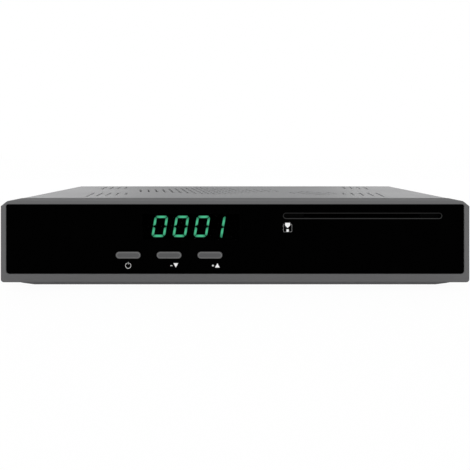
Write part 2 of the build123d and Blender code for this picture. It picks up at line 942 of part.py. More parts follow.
# ======================================================================= feet
foot_places = {
    "foot_front_left": (-feet_x, feet_front),
    "foot_front_right": (feet_x, feet_front),
    "foot_rear_left": (-feet_x, feet_rear),
    "foot_rear_right": (feet_x, feet_rear),
}
for foot_name, foot_place in foot_places.items():
    with BuildPart() as foot:
        with BuildSketch():
            with Locations(foot_place):
                RegularPolygon(foot_radius, round_sides)
        extrude(amount=foot_height)
    foot.part.label = foot_name
    export_step(foot.part, f"parts/{foot_name}.step")

# ================================================================= main board
with BuildPart() as main_board:
    with BuildSketch(Plane.XY.offset(main_low)):
        with Locations((0, main_middle)):
            Rectangle(main_width, main_length)
            with GridLocations(stand_span_x, stand_span_y, 2, 2):
                shank(screw_radius + slip, mode=Mode.SUBTRACT)
    extrude(amount=board_thick)
main_board.part.label = "main_board"
export_step(main_board.part, "parts/main_board.step")

processor_y = main_middle - processor_forward
with BuildPart() as processor:
    with BuildSketch(Plane.XY.offset(main_top)):
        with Locations((processor_x, processor_y)):
            Rectangle(processor_size, processor_size)
    extrude(amount=processor_thick)
processor.part.label = "processor"
export_step(processor.part, "parts/processor.step")

with BuildPart() as heat_sink:
    sink_low = main_top + processor_thick
    block(processor_x, processor_y - sink_size / 2, sink_low, sink_size, sink_size, sink_base)
    with BuildSketch(Plane.XY.offset(sink_low + sink_base)):
        with Locations((processor_x, processor_y)):
            fin_pitch = (sink_size - sink_fin) / (sink_fin_count - 1)
            with GridLocations(fin_pitch, 1, sink_fin_count, 1):
                Rectangle(sink_fin, sink_size)
    extrude(amount=sink_fin_height)
heat_sink.part.label = "heat_sink"
export_step(heat_sink.part, "parts/heat_sink.step")

with BuildPart() as memory_chips:
    with BuildSketch(Plane.XY.offset(main_top)):
        memory_x = processor_x + (sink_size + memory_width + memory_pitch) / 2 + memory_gap
        with Locations((memory_x, processor_y + memory_behind)):
            with GridLocations(memory_pitch, 1, 2, 1):
                Rectangle(memory_width, memory_length)
    extrude(amount=memory_thick)
memory_chips.part.label = "memory_chips"
export_step(memory_chips.part, "parts/memory_chips.step")

with BuildPart() as capacitors:
    with BuildSketch(Plane.XY.offset(main_top)):
        can_x = rocker_x - can_inset
        can_y = socket_face - power_length - can_gap - can_radius
        with Locations((can_x, can_y)):
            with GridLocations(can_pitch, 1, can_count, 1):
                RegularPolygon(can_radius, can_sides)
    extrude(amount=can_height)
capacitors.part.label = "capacitors"
export_step(capacitors.part, "parts/capacitors.step")

with BuildPart() as coils:
    with BuildSketch(Plane.XY.offset(main_top)):
        coil_x = processor_x - sink_size / 2 - coil_gap - coil_size / 2
        with Locations((coil_x, processor_y)):
            with GridLocations(1, coil_pitch, 1, coil_count):
                air_slot(coil_size, coil_size)
    extrude(amount=coil_height)
coils.part.label = "coils"
export_step(coils.part, "parts/coils.step")

# =============================================================== tuner module
tuner_front = panel_inner - tuner_length
tuner_middle = tuner_front + tuner_length / 2
tuner_top = main_top + tuner_height
with BuildPart() as tuner_can:
    block(tuner_x, tuner_front, main_top, tuner_width, tuner_length, tuner_height)
    with BuildSketch(Plane.XY.offset(main_top + tuner_wall)):
        with Locations((tuner_x, tuner_middle)):
            Rectangle(tuner_width - 2 * tuner_wall, tuner_length - 2 * tuner_wall)
    extrude(amount=tuner_height, mode=Mode.SUBTRACT)
    with BuildSketch(upright(panel_inner - tuner_wall)):
        with Locations([(x, aerial_z) for x in aerial_places]):
            shank(aerial_tail_radius + slip)
    extrude(amount=-tuner_wall, mode=Mode.SUBTRACT)
tuner_can.part.label = "tuner_can"
export_step(tuner_can.part, "parts/tuner_can.step")

with BuildPart() as tuner_lid:
    block(tuner_x, tuner_front, tuner_top, tuner_width, tuner_length, tuner_wall)
    inner_width = tuner_width - 2 * (tuner_wall + slip)
    inner_length = tuner_length - 2 * (tuner_wall + slip)
    with BuildSketch(Plane.XY.offset(tuner_top - tuner_lid_skirt)):
        with Locations((tuner_x, tuner_middle)):
            Rectangle(inner_width, inner_length)
            Rectangle(inner_width - 2 * tuner_wall, inner_length - 2 * tuner_wall, mode=Mode.SUBTRACT)
    extrude(amount=tuner_lid_skirt)
    with BuildSketch(Plane.XY.offset(tuner_top)):
        with Locations((tuner_x, tuner_middle)):
            with GridLocations(tuner_slot_pitch, 1, tuner_slot_count, 1):
                air_slot(tuner_slot_length, tuner_slot_width, rotation=90)
    extrude(amount=tuner_wall, mode=Mode.SUBTRACT)
tuner_lid.part.label = "tuner_lid"
export_step(tuner_lid.part, "parts/tuner_lid.step")

for side_name, aerial_x in zip(("in", "out"), aerial_places):
    with BuildPart() as aerial:
        # tail in the can, neck through the panel and nut, free barrel
        with BuildSketch(upright(panel_inner - tuner_wall - aerial_tail)):
            with Locations((aerial_x, aerial_z)):
                shank(aerial_tail_radius)
        extrude(amount=-(tuner_wall + aerial_tail))
        with BuildSketch(upright(panel_inner)):
            with Locations((aerial_x, aerial_z)):
                RegularPolygon(aerial_neck, head_sides)
        extrude(amount=-(nut_back - panel_inner))
        with BuildSketch(upright(nut_back)):
            with Locations((aerial_x, aerial_z)):
                Circle(aerial_radius)
        extrude(amount=-(socket_tip - nut_back))
        with BuildSketch(upright(socket_tip - insulator_recess - insulator_length)):
            with Locations((aerial_x, aerial_z)):
                RegularPolygon(aerial_bore, round_sides)
        extrude(amount=-(insulator_recess + insulator_length), mode=Mode.SUBTRACT)
    aerial.part.label = f"aerial_socket_{side_name}"
    export_step(aerial.part, f"parts/aerial_socket_{side_name}.step")

with BuildPart() as aerial_insulators:
    with BuildSketch(upright(socket_tip - insulator_recess - insulator_length)):
        with Locations([(x, aerial_z) for x in aerial_places]):
            RegularPolygon(aerial_bore - running, round_sides)
            shank(centre_hole, mode=Mode.SUBTRACT)
    extrude(amount=-insulator_length)
aerial_insulators.part.label = "aerial_insulators"
export_step(aerial_insulators.part, "parts/aerial_insulators.step")

with BuildPart() as aerial_nuts:
    with BuildSketch(upright(panel_face)):
        with Locations([(x, aerial_z) for x in aerial_places]):
            RegularPolygon(nut_across / 2, 6, major_radius=False)
            RegularPolygon(aerial_neck + running, head_sides, mode=Mode.SUBTRACT)
    extrude(amount=-nut_height)
aerial_nuts.part.label = "aerial_nuts"
export_step(aerial_nuts.part, "parts/aerial_nuts.step")

# =============================================================== network jack
mouth_z = main_top + network_sill + network_mouth_height / 2
with BuildPart() as network_jack:
    block(network_x, socket_face - network_length, main_top, network_width, network_length, network_height)
    with BuildSketch(upright(socket_face - network_mouth_depth)):
        with Locations((network_x, mouth_z)):
            Rectangle(network_mouth_width, network_mouth_height)
    extrude(amount=-network_mouth_depth, mode=Mode.SUBTRACT)
network_jack.part.label = "network_jack"
export_step(network_jack.part, "parts/network_jack.step")

with BuildPart() as network_contacts:
    contact_top = main_top + network_sill + network_mouth_height
    with BuildSketch(upright(socket_face - network_mouth_depth)):
        with Locations((network_x, contact_top - contact_droop / 2)):
            with GridLocations(network_pitch, 1, 8, 1):
                Rectangle(network_contact, contact_droop)
    extrude(amount=-network_mouth_depth / 2)
network_contacts.part.label = "network_contacts"
export_step(network_contacts.part, "parts/network_contacts.step")

# =============================================================== video socket
with BuildPart() as video_socket_shell:
    with BuildSketch(upright(socket_face - video_length)) as shell_outline:
        half_width = video_width / 2
        low = main_top + video_lift
        with BuildLine():
            Polyline(
                (video_x - half_width + video_taper, low),
                (video_x - half_width, low + video_taper),
                (video_x - half_width, low + video_height),
                (video_x + half_width, low + video_height),
                (video_x + half_width, low + video_taper),
                (video_x + half_width - video_taper, low),
                close=True,
            )
        make_face()
    extrude(amount=-video_length)
    with BuildSketch(upright(socket_face - video_length + socket_wall)):
        add(shell_outline.sketch_local)
        offset(amount=-socket_wall, kind=Kind.INTERSECTION)
    extrude(amount=-video_length, mode=Mode.SUBTRACT)
    # the legs that stand on the board
    for side in (-1, 1):
        leg_x = video_x + side * (half_width - video_taper - leg_width)
        block(leg_x, socket_face - video_length + leg_length, main_top, leg_width, leg_length, video_lift)
video_socket_shell.part.label = "video_socket_shell"
export_step(video_socket_shell.part, "parts/video_socket_shell.step")

with BuildPart() as video_socket_tongue:
    tongue_length = video_length - socket_wall - tongue_setback
    with BuildSketch(upright(socket_face - video_length + socket_wall)):
        with Locations((video_x, video_z)):
            Rectangle(video_width - 2 * video_taper, tongue_thick)
    extrude(amount=-tongue_length)
video_socket_tongue.part.label = "video_socket_tongue"
export_step(video_socket_tongue.part, "parts/video_socket_tongue.step")

# ================================================================ data socket
with BuildPart() as data_socket_shell:
    with BuildSketch(upright(socket_face - data_length)):
        with Locations((data_x, data_z)):
            RectangleRounded(data_width, data_height, socket_wall)
    extrude(amount=-data_length)
    with BuildSketch(upright(socket_face - data_length + socket_wall)):
        with Locations((data_x, data_z)):
            Rectangle(data_width - 2 * socket_wall, data_height - 2 * socket_wall)
    extrude(amount=-data_length, mode=Mode.SUBTRACT)
    for side in (-1, 1):
        leg_x = data_x + side * (data_width / 2 - 2 * leg_width)
        block(leg_x, socket_face - data_length + leg_length, main_top, leg_width, leg_length, data_lift)
data_socket_shell.part.label = "data_socket_shell"
export_step(data_socket_shell.part, "parts/data_socket_shell.step")

with BuildPart() as data_socket_tongue:
    with BuildSketch(upright(socket_face - data_length + socket_wall)):
        with Locations((data_x, data_z + tongue_thick / 2)):
            Rectangle(data_width - 2 * tongue_setback, tongue_thick)
    extrude(amount=-(data_length - socket_wall - tongue_setback))
data_socket_tongue.part.label = "data_socket_tongue"
export_step(data_socket_tongue.part, "parts/data_socket_tongue.step")

# ============================================================= optical socket
optical_mouth_z = main_top + optical_sill + optical_mouth / 2
shutter_pivot_y = socket_face - shutter_setback
shutter_pivot_z = optical_mouth_z + optical_mouth / 2 - shutter_thick - air
with BuildPart() as optical_socket:
    block(optical_x, socket_face - optical_length, main_top, optical_width, optical_length, optical_width)
    with BuildSketch(upright(socket_face - optical_depth)):
        with Locations((optical_x, optical_mouth_z)):
            Rectangle(optical_mouth, optical_mouth)
    extrude(amount=-optical_depth, mode=Mode.SUBTRACT)
    pin_span = optical_mouth + 2 * (shutter_pin_length + running)
    with BuildSketch(Plane.YZ.offset(optical_x - pin_span / 2)):
        with Locations((shutter_pivot_y, shutter_pivot_z)):
            Circle(shutter_pin + running)
    extrude(amount=pin_span, mode=Mode.SUBTRACT)
optical_socket.part.label = "optical_socket"
export_step(optical_socket.part, "parts/optical_socket.step")

with BuildPart() as optical_shutter:
    flap_width = optical_mouth - 2 * air
    flap_low = optical_mouth_z - optical_mouth / 2 + air
    block(
        optical_x,
        shutter_pivot_y - shutter_thick / 2,
        flap_low,
        flap_width,
        shutter_thick,
        shutter_pivot_z - flap_low,
    )
    with BuildSketch(Plane.YZ.offset(optical_x - flap_width / 2)):
        with Locations((shutter_pivot_y, shutter_pivot_z)):
            RegularPolygon(shutter_thick / 2 + slip, head_sides)
    extrude(amount=flap_width)
    with BuildSketch(Plane.YZ.offset(optical_x - optical_mouth / 2 - shutter_pin_length)):
        with Locations((shutter_pivot_y, shutter_pivot_z)):
            Circle(shutter_pin)
    extrude(amount=optical_mouth + 2 * shutter_pin_length)
optical_shutter.part.label = "optical_shutter"
export_step(optical_shutter.part, "parts/optical_shutter.step")

# ================================================================= audio jack
with BuildPart() as audio_jack:
    block(audio_x, panel_inner - audio_length, main_top, audio_width, audio_length, audio_width)
    with BuildSketch(upright(panel_inner)):
        with Locations((audio_x, audio_z)):
            RegularPolygon(audio_collar, round_sides)
    extrude(amount=-(socket_face - panel_inner))
    with BuildSketch(upright(socket_face - audio_bore_length)):
        with Locations((audio_x, audio_z)):
            Circle(audio_bore)
    extrude(amount=-audio_bore_length, mode=Mode.SUBTRACT)
audio_jack.part.label = "audio_jack"
export_step(audio_jack.part, "parts/audio_jack.step")

# ================================================================ power inlet
with BuildPart() as power_inlet:
    block(power_x, socket_face - power_length, main_top, power_width, power_length, power_height)
    with BuildSketch(upright(socket_face - power_bore_length)):
        with Locations((power_x, power_z)):
            Circle(power_bore)
    extrude(amount=-power_bore_length, mode=Mode.SUBTRACT)
power_inlet.part.label = "power_inlet"
export_step(power_inlet.part, "parts/power_inlet.step")

with BuildPart() as power_inlet_pin:
    with BuildSketch(upright(socket_face - power_bore_length)):
        with Locations((power_x, power_z)):
            Circle(power_pin_radius)
    extrude(amount=-(power_bore_length - power_pin_radius))
power_inlet_pin.part.label = "power_inlet_pin"
export_step(power_inlet_pin.part, "parts/power_inlet_pin.step")

# =============================================================== power switch
rocker_room = rocker_radius + air
pin_reach = rocker_tall / 2 + air + rocker_pin_hold
with BuildPart() as rocker_frame:
    with BuildSketch(upright(panel_face)):
        with Locations((rocker_x, rocker_height)):
            Rectangle(rocker_cut_width + 2 * rocker_rim, rocker_cut_height + 2 * rocker_rim)
    extrude(amount=-rocker_rim_thick)
    with BuildSketch(upright(panel_face - rocker_body_depth)):
        with Locations((rocker_x, rocker_height)):
            Rectangle(rocker_cut_width - 2 * slip, rocker_cut_height - 2 * slip)
    extrude(amount=-rocker_body_depth)
    with BuildSketch(upright(rocker_pivot_y - rocker_pocket_depth)):
        with Locations((rocker_x, rocker_height)):
            Rectangle(2 * rocker_room, rocker_tall + 2 * air)
    extrude(amount=-(rocker_pocket_depth + rocker_rim_thick), mode=Mode.SUBTRACT)
    with BuildSketch(Plane.XY.offset(rocker_height - pin_reach)):
        with Locations((rocker_x, rocker_pivot_y)):
            Circle(rocker_pin_radius + running)
    extrude(amount=2 * pin_reach, mode=Mode.SUBTRACT)
rocker_frame.part.label = "rocker_frame"
export_step(rocker_frame.part, "parts/rocker_frame.step")

with BuildPart() as rocker:
    tilted = Plane(
        origin=(rocker_x, rocker_pivot_y, rocker_height - rocker_tall / 2),
        x_dir=(cos(radians(rocker_tilt)), sin(radians(rocker_tilt)), 0),
        z_dir=(0, 0, 1),
    )
    with BuildSketch(tilted):
        Circle(rocker_radius)
        with BuildLine():
            Polyline(
                (-rocker_radius, -rocker_skirt),
                (-rocker_radius, rocker_crown),
                (0, rocker_crown - rocker_radius * tan(radians(rocker_tilt))),
                (rocker_radius, rocker_crown),
                (rocker_radius, -rocker_skirt),
                close=True,
            )
        make_face(mode=Mode.INTERSECT)
        Circle(rocker_pin_radius + running, mode=Mode.SUBTRACT)
    extrude(amount=rocker_tall)
rocker.part.label = "rocker"
export_step(rocker.part, "parts/rocker.step")

with BuildPart() as rocker_pin:
    with BuildSketch(Plane.XY.offset(rocker_height - pin_reach)):
        with Locations((rocker_x, rocker_pivot_y)):
            Circle(rocker_pin_radius)
    extrude(amount=2 * pin_reach)
rocker_pin.part.label = "rocker_pin"
export_step(rocker_pin.part, "parts/rocker_pin.step")

# ==================================================== ribbon between the boards
ribbon_top_z = main_top + ribbon_high
ribbon_low_z = main_top + ribbon_low
front_socket_back = front_y + board_back + ribbon_socket_length
rear_socket_y = main_start + ribbon_socket_margin
with BuildPart() as ribbon_sockets:
    width = ribbon_width + 2 * ribbon_socket_margin
    block(
        ribbon_x,
        front_y + board_back,
        ribbon_top_z - ribbon_socket_height / 2,
        width,
        ribbon_socket_length,
        ribbon_socket_height,
    )
    block(ribbon_x, rear_socket_y, main_top, width, ribbon_socket_length, ribbon_socket_height)
    # mouths that take the ribbon's ends
    mouth_width = ribbon_width + 2 * running
    mouth_height = ribbon_thick + 2 * running
    for mouth_y, top_z in ((front_socket_back - ribbon_in, ribbon_top_z), (rear_socket_y, ribbon_low_z)):
        mouth_low = top_z - ribbon_thick - running
        block(ribbon_x, mouth_y, mouth_low, mouth_width, ribbon_in, mouth_height, mode=Mode.SUBTRACT)
ribbon_sockets.part.label = "ribbon_sockets"
export_step(ribbon_sockets.part, "parts/ribbon_sockets.step")

with BuildPart() as ribbon_cable:
    with BuildSketch(Plane.YZ.offset(ribbon_x - ribbon_width / 2)):
        run = [
            (front_socket_back - ribbon_in + running, ribbon_top_z),
            (bezel_back + sheet + ribbon_over, ribbon_top_z),
            (rear_socket_y - ribbon_bend, ribbon_low_z),
            (rear_socket_y + ribbon_in - running, ribbon_low_z),
        ]
        under = [(y, z - ribbon_thick) for y, z in run]
        with BuildLine():
            Polyline(*run)
            Polyline(*under)
            Line(run[0], under[0])
            Line(run[-1], under[-1])
        make_face()
    extrude(amount=ribbon_width)
ribbon_cable.part.label = "ribbon_cable"
export_step(ribbon_cable.part, "parts/ribbon_cable.step")

# ================================================================ card reader
reader_front = front_y + web_back + guide_reach + air
reader_width = card_width + 2 * reader_wall
reader_low = slot_z - card_gap / 2 - reader_floor
reader_top = slot_z + card_gap / 2
with BuildPart() as card_reader_frame:
    block(slot_x, reader_front, reader_low, reader_width, reader_length, reader_top - reader_low)
    # channel that the card slides into, closed at its far end
    channel_low = slot_z - card_gap / 2
    block_length = reader_length - reader_wall
    with BuildSketch(Plane.XY.offset(channel_low)):
        with Locations((slot_x, reader_front + block_length / 2)):
            Rectangle(card_width, block_length)
    extrude(amount=card_gap, mode=Mode.SUBTRACT)
    # slits that the spring contacts stand in
    with BuildSketch(Plane.XY.offset(reader_low)):
        with Locations((slot_x, reader_front + contact_depth)):
            with GridLocations(contact_pitch, 2 * contact_length, 4, 2):
                Rectangle(contact_width + 2 * slip, contact_length + 2 * slip)
    extrude(amount=reader_floor, mode=Mode.SUBTRACT)
    # legs down to the main board
    leg_span_x = reader_width - 2 * reader_leg_inset
    leg_rear = reader_front + reader_length - reader_leg_inset
    leg_front = reader_front + reader_leg_front
    with BuildSketch(Plane.XY.offset(main_top)):
        for leg_y in (leg_front, leg_rear):
            for side in (-1, 1):
                with Locations((slot_x + side * leg_span_x / 2, leg_y)):
                    Rectangle(2 * reader_leg, 2 * reader_leg)
    extrude(amount=reader_low - main_top)
card_reader_frame.part.label = "card_reader_frame"
export_step(card_reader_frame.part, "parts/card_reader_frame.step")

with BuildPart() as card_reader_lid:
    block(slot_x, reader_front, reader_top, reader_width, reader_length, reader_lid)
card_reader_lid.part.label = "card_reader_lid"
export_step(card_reader_lid.part, "parts/card_reader_lid.step")

with BuildPart() as card_reader_contacts:
    with BuildSketch(Plane.XY.offset(reader_low)):
        with Locations((slot_x, reader_front + contact_depth)):
            with GridLocations(contact_pitch, 2 * contact_length, 4, 2):
                Rectangle(contact_width, contact_length)
    extrude(amount=reader_floor + slip)
card_reader_contacts.part.label = "card_reader_contacts"
export_step(card_reader_contacts.part, "parts/card_reader_contacts.step")
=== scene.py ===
import json
from functools import reduce
from math import ceil, radians, tan

import bmesh
import bpy
from mathutils import Matrix, Vector


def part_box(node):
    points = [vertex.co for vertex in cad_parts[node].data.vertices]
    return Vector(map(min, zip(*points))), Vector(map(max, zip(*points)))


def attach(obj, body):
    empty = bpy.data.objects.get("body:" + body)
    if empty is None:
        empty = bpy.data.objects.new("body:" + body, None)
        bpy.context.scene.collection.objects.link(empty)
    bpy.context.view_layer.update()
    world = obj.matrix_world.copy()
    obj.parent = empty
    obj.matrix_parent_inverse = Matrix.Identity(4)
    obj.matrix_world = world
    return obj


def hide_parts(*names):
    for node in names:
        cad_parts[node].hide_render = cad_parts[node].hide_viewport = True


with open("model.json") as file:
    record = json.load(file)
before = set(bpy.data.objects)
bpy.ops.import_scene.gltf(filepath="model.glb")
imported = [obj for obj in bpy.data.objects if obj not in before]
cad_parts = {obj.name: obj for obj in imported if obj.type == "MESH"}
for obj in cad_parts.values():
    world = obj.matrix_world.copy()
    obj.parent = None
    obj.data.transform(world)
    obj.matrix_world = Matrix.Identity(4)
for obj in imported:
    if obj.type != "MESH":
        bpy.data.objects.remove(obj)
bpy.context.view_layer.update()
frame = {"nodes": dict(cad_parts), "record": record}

mm = 0.001
nodes = frame["nodes"]
print("stage 1: frame loaded,", len(nodes), "nodes")

camera = {
    "lens": 51.26,
    "sensor": 36,
    "place": (-0.24 * mm, -393.8 * mm, 63.54 * mm),  # level, looking along +Y
    "shiftX": 0.0009,
    "shiftY": -0.1697,
    "near": 0.01,
    "far": 50,
}


def addToScene(name, data):
    added = bpy.data.objects.new(name, data)
    bpy.context.scene.collection.objects.link(added)
    return added


def makeCamera(look):
    lens = bpy.data.cameras.new("camera")
    lens.lens = look["lens"]
    lens.sensor_width = look["sensor"]
    lens.shift_x = look["shiftX"]
    lens.shift_y = look["shiftY"]
    lens.clip_start = look["near"]
    lens.clip_end = look["far"]
    holder = addToScene("camera", lens)
    holder.location = look["place"]
    holder.rotation_euler = (radians(90), 0, 0)
    bpy.context.scene.camera = holder


makeCamera(camera)
bpy.context.scene.view_settings.view_transform = "Standard"
print("stage 2: camera")


# A socket of a node, so that maths on it reads as maths.
class Value:
    def __init__(self, finish, socket):
        self.finish = finish
        self.socket = socket

    def maths(self, operation, first, second=0.0):
        return self.finish.node("Math", {"operation": operation}, {0: first, 1: second})

    def __add__(self, other):
        return self.maths("ADD", self, other)

    def __sub__(self, other):
        return self.maths("SUBTRACT", self, other)

    def __rsub__(self, other):
        return self.maths("SUBTRACT", other, self)

    def __mul__(self, other):
        return self.maths("MULTIPLY", self, other)

    def __truediv__(self, other):
        return self.maths("DIVIDE", self, other)

    def __pow__(self, other):
        return self.maths("POWER", self, other)

    def __lt__(self, other):
        return self.maths("LESS_THAN", self, other)

    def __abs__(self):
        return self.maths("ABSOLUTE", self)

    def least(self, other):
        return self.maths("MINIMUM", self, other)

    def most(self, other):
        return self.maths("MAXIMUM", self, other)

    def clamped(self):
        return self.most(0.0).least(1.0)

    def bounced(self, reach):  # up and down again between 0 and the reach
        return self.maths("PINGPONG", self, reach)

    __radd__ = __add__
    __rmul__ = __mul__


def colour(value):
    if isinstance(value, Value):
        return value
    if isinstance(value, (int, float)):
        return (value, value, value, 1)
    return (*value, 1)


def scaled(shade, share):
    return [part * share for part in shade]


# Two values mixed: the share goes to the first and the rest to the second.
def weighed(first, share, second):
    return first * share + second * (1 - share)


def setStops(ramp, stops):
    while len(ramp.elements) > 1:
        ramp.elements.remove(ramp.elements[-1])
    for number, (position, shade) in enumerate(stops):
        stop = ramp.elements.new(position) if number else ramp.elements[0]
        stop.position = position
        stop.color = colour(shade)


# The nodes of one material, or of the world. node() makes them all.
class Finish:
    def __init__(self, name, holders=bpy.data.materials):
        self.holder = holders.new(name)
        self.holder.use_nodes = True
        self.tree = self.holder.node_tree
        self.tree.nodes.clear()
        self.place = self.node("TexCoord", out="Object")

    def node(self, kind, settings=None, sockets=None, out=0):
        made = self.tree.nodes.new("ShaderNode" + kind)
        for name, value in (settings or {}).items():
            if name == "stops":
                setStops(made.color_ramp, value)
            else:
                setattr(made, name, value)
        for name, value in (sockets or {}).items():
            if isinstance(value, Value):
                self.tree.links.new(value.socket, made.inputs[name])
            else:
                made.inputs[name].default_value = value
        return Value(self, made.outputs[out]) if len(made.outputs) else made

    def spot(self, stretch=(1, 1, 1)):
        return self.node("Mapping", {}, {"Vector": self.place, "Scale": stretch})

    def noise(self, size, detail=2, stretch=(1, 1, 1)):
        sockets = {"Vector": self.spot(stretch), "Scale": 1 / size, "Detail": detail}
        return self.node("TexNoise", {}, sockets)

    def cells(self, size, feature="F1", out="Distance"):
        sockets = {"Vector": self.spot(), "Scale": 1 / size}
        return self.node("TexVoronoi", {"feature": feature}, sockets, out)

    def axis(self, letter):
        return self.node("SeparateXYZ", {}, {0: self.place}, "XYZ".index(letter))

    def rise(self, value, ends, low=0, high=1):  # low up to the first end, high past the second
        stops = ((ends[0], low), (ends[1], high))
        return self.node("ValToRGB", {"stops": stops}, {"Fac": value})

    def fall(self, value, ends):
        return self.rise(value, ends, 1, 0)

    def mix(self, amount, first, second):
        sockets = {0: amount, 6: colour(first), 7: colour(second)}
        return self.node("Mix", {"data_type": "RGBA"}, sockets, 2)

    def bump(self, height, depth, over=None):
        sockets = {"Height": height, "Distance": depth}
        if over:
            sockets["Normal"] = over
        return self.node("Bump", {}, sockets)

    def done(self, **sockets):
        inputs = {name.replace("_", " "): value for name, value in sockets.items()}
        shader = self.node("BsdfPrincipled", {}, inputs)
        self.node("OutputMaterial", {}, {"Surface": shader})
        return self.holder

    def strayed(self, look, amount):  # the look's shade, a little darker or paler
        low = scaled(look["shade"], 1 - look["spread"])
        return self.mix(amount, low, scaled(look["shade"], 1 + look["spread"]))

    def grains(self, look):
        drift = self.noise(look["patch"], 3)
        grain = self.noise(look["grain"])
        return grain, self.strayed(look, weighed(drift, look["driftShare"], grain))


# Painted shadow along the seam between bezel and cover: both sides are darkened near it.
seamShadowLook = {"reach": 2 * mm, "shade": (0.02, 0.02, 0.021)}
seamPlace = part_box("top_cover")[0].y


def paintSeamShadow(made, look, shade):
    near = (1 - abs(made.axis("Y") - seamPlace) / look["reach"]).most(0.0)
    return made.mix(near, shade, look["shade"])


# Spark-eroded moulded plastic: fine grain, a slow drift of shade, rubbed patches, and a painted
# shadow along the seam where one is given.
def mouldedPlastic(name, look, seamShadow=None):
    made = Finish(name)
    grain, shade = made.grains(look)
    # painted shadow along the seam with the cover
    if seamShadow:
        shade = paintSeamShadow(made, seamShadow, shade)
    rubbed = made.rise(made.noise(look["rubPatch"], 4), look["rubbed"])
    rough = look["rough"] + (grain - 0.5) * look["grainRough"] - rubbed * look["rub"]
    return made.done(
        Base_Color=shade,
        Roughness=rough,
        Normal=made.bump(grain, look["depth"]),
        Specular_IOR_Level=look["gloss"],
    )


# Powder coat on sheet: orange peel under a fine speckle, worn a little smoother here and there.
# Inside the bends of its node, where there is one, the cut edges and the underside are bare.
def powderCoat(name, look, node=None, seamShadow=None):
    made = Finish(name)
    drift = made.noise(look["patch"], 3)
    peel = made.noise(look["peel"], 1)
    speckle = made.noise(look["speckle"], 3)
    fleck = made.fall(made.cells(look["fleck"]), look["fleckEnds"])
    shade = made.strayed(look, weighed(drift, look["driftShare"], speckle))
    shade = made.mix(fleck * look["fleckShare"], shade, look["fleckShade"])
    rough = look["rough"] + (speckle - 0.5) * look["speckleRough"]
    metal = 0.0
    if node:
        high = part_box(node)[1]
        across = abs(made.axis("X")) < high.x - look["bend"]
        below = made.axis("Z") < high.z - look["coat"]
        bare = across * below * (made.axis("Y") < high.y - look["bend"])
        shade = made.mix(bare, shade, look["bare"])
        metal = bare * look["bareMetal"]
    # painted shadow along the seam with the bezel
    if seamShadow:
        shade = paintSeamShadow(made, seamShadow, shade)
    return made.done(
        Base_Color=shade,
        Roughness=rough + (drift - 0.5) * look["driftRough"],
        Normal=made.bump(speckle, look["speckleDepth"], made.bump(peel, look["peelDepth"])),
        Metallic=metal,
        Specular_IOR_Level=look["gloss"],
    )


# Plated or rolled metal: drawn lines along one axis and cloudy stains.
def drawnMetal(name, look):
    made = Finish(name)
    lines = made.noise(look["line"], 3, look["along"])
    stain = made.rise(made.noise(look["patch"], 4), look["stained"])
    low = scaled(look["shade"], 1 - look["spread"])
    return made.done(
        Base_Color=made.mix(weighed(lines, look["lineShare"], stain), look["shade"], low),
        Roughness=look["rough"] + (lines - 0.5) * look["lineRough"] + stain * look["stainRough"],
        Normal=made.bump(lines, look["depth"]),
        Metallic=1.0,
    )


# Hot-dip galvanised sheet: crystals of different brightness.
def galvanised(name, look):
    made = Finish(name)
    crystal = made.node("SeparateColor", {}, {0: made.cells(look["crystal"], out="Color")})
    edge = made.fall(made.cells(look["crystal"], "DISTANCE_TO_EDGE"), look["edge"])
    frost = made.noise(look["frost"], 3)
    low = scaled(look["shade"], 1 - look["spread"])
    rough = look["rough"] + (crystal - 0.5) * look["crystalRough"]
    return made.done(
        Base_Color=made.mix(weighed(crystal, look["crystalShare"], frost), low, look["shade"]),
        Roughness=rough + (frost - 0.5) * look["frostRough"],
        Normal=made.bump(edge + frost * look["frostHigh"], look["depth"]),
        Metallic=1.0,
    )


bezelLook = {
    "shade": (0.142, 0.142, 0.144),
    "spread": 0.05,
    "patch": 40 * mm,
    "grain": 0.35 * mm,
    "driftShare": 0.7,
    "depth": 0.012 * mm,
    "rough": 0.88,
    "grainRough": 0.16,
    "rubPatch": 40 / 3 * mm,
    "rubbed": (0.52, 0.72),
    "rub": 0.06,
    "gloss": 0.01,
}
blackPlasticLook = dict(
    bezelLook, shade=(0.011, 0.011, 0.012), grain=0.2 * mm, rough=0.48, gloss=0.4, spread=0.15
)
whitePlasticLook = dict(
    bezelLook, shade=(0.66, 0.65, 0.61), grain=0.3 * mm, rough=0.42, gloss=0.4
)
resinLook = dict(
    bezelLook, shade=(0.014, 0.014, 0.015), grain=0.12 * mm, depth=0.008 * mm, rough=0.58,
    gloss=0.35, spread=0.2,
)
rubberLook = dict(
    bezelLook, shade=(0.012, 0.012, 0.012), grain=0.5 * mm, depth=0.03 * mm, rough=0.82,
    gloss=0.25, spread=0.25,
)
coverLook = {
    "shade": (0.116, 0.117, 0.122),
    "spread": 0.06,
    "patch": 55 * mm,
    "driftShare": 0.5,
    "peel": 1.4 * mm,
    "peelDepth": 0.02 * mm,
    "speckle": 0.35 * mm,
    "speckleDepth": 0.01 * mm,
    "fleck": 0.8 * mm,
    "fleckEnds": (0.1, 0.3),
    "fleckShare": 0.25,
    "fleckShade": 0.3,
    "rough": 0.48,
    "speckleRough": 0.15,
    "driftRough": 0.1,
    "gloss": 0.35,
    "bend": 2.2 * mm,
    "coat": 0.06 * mm,
    "bare": (0.46, 0.46, 0.47),
    "bareMetal": 0.2,
}
rearLook = dict(
    coverLook, shade=(0.028, 0.028, 0.03), spread=0.15, fleckShade=0.05, rough=0.55, gloss=0.4
)
nickelLook = {
    "shade": (0.62, 0.6, 0.56),
    "spread": 0.2,
    "line": 0.25 * mm,
    "along": (1, 0.15, 1),
    "lineShare": 0.6,
    "patch": 5 * mm,
    "stained": (0.45, 0.7),
    "depth": 0.004 * mm,
    "rough": 0.22,
    "lineRough": 0.1,
    "stainRough": 0.12,
}
zincLook = dict(nickelLook, shade=(0.42, 0.42, 0.43), rough=0.34, line=0.15 * mm, along=(1, 1, 1))
goldLook = dict(nickelLook, shade=(0.78, 0.55, 0.22), rough=0.2, line=0.2 * mm)
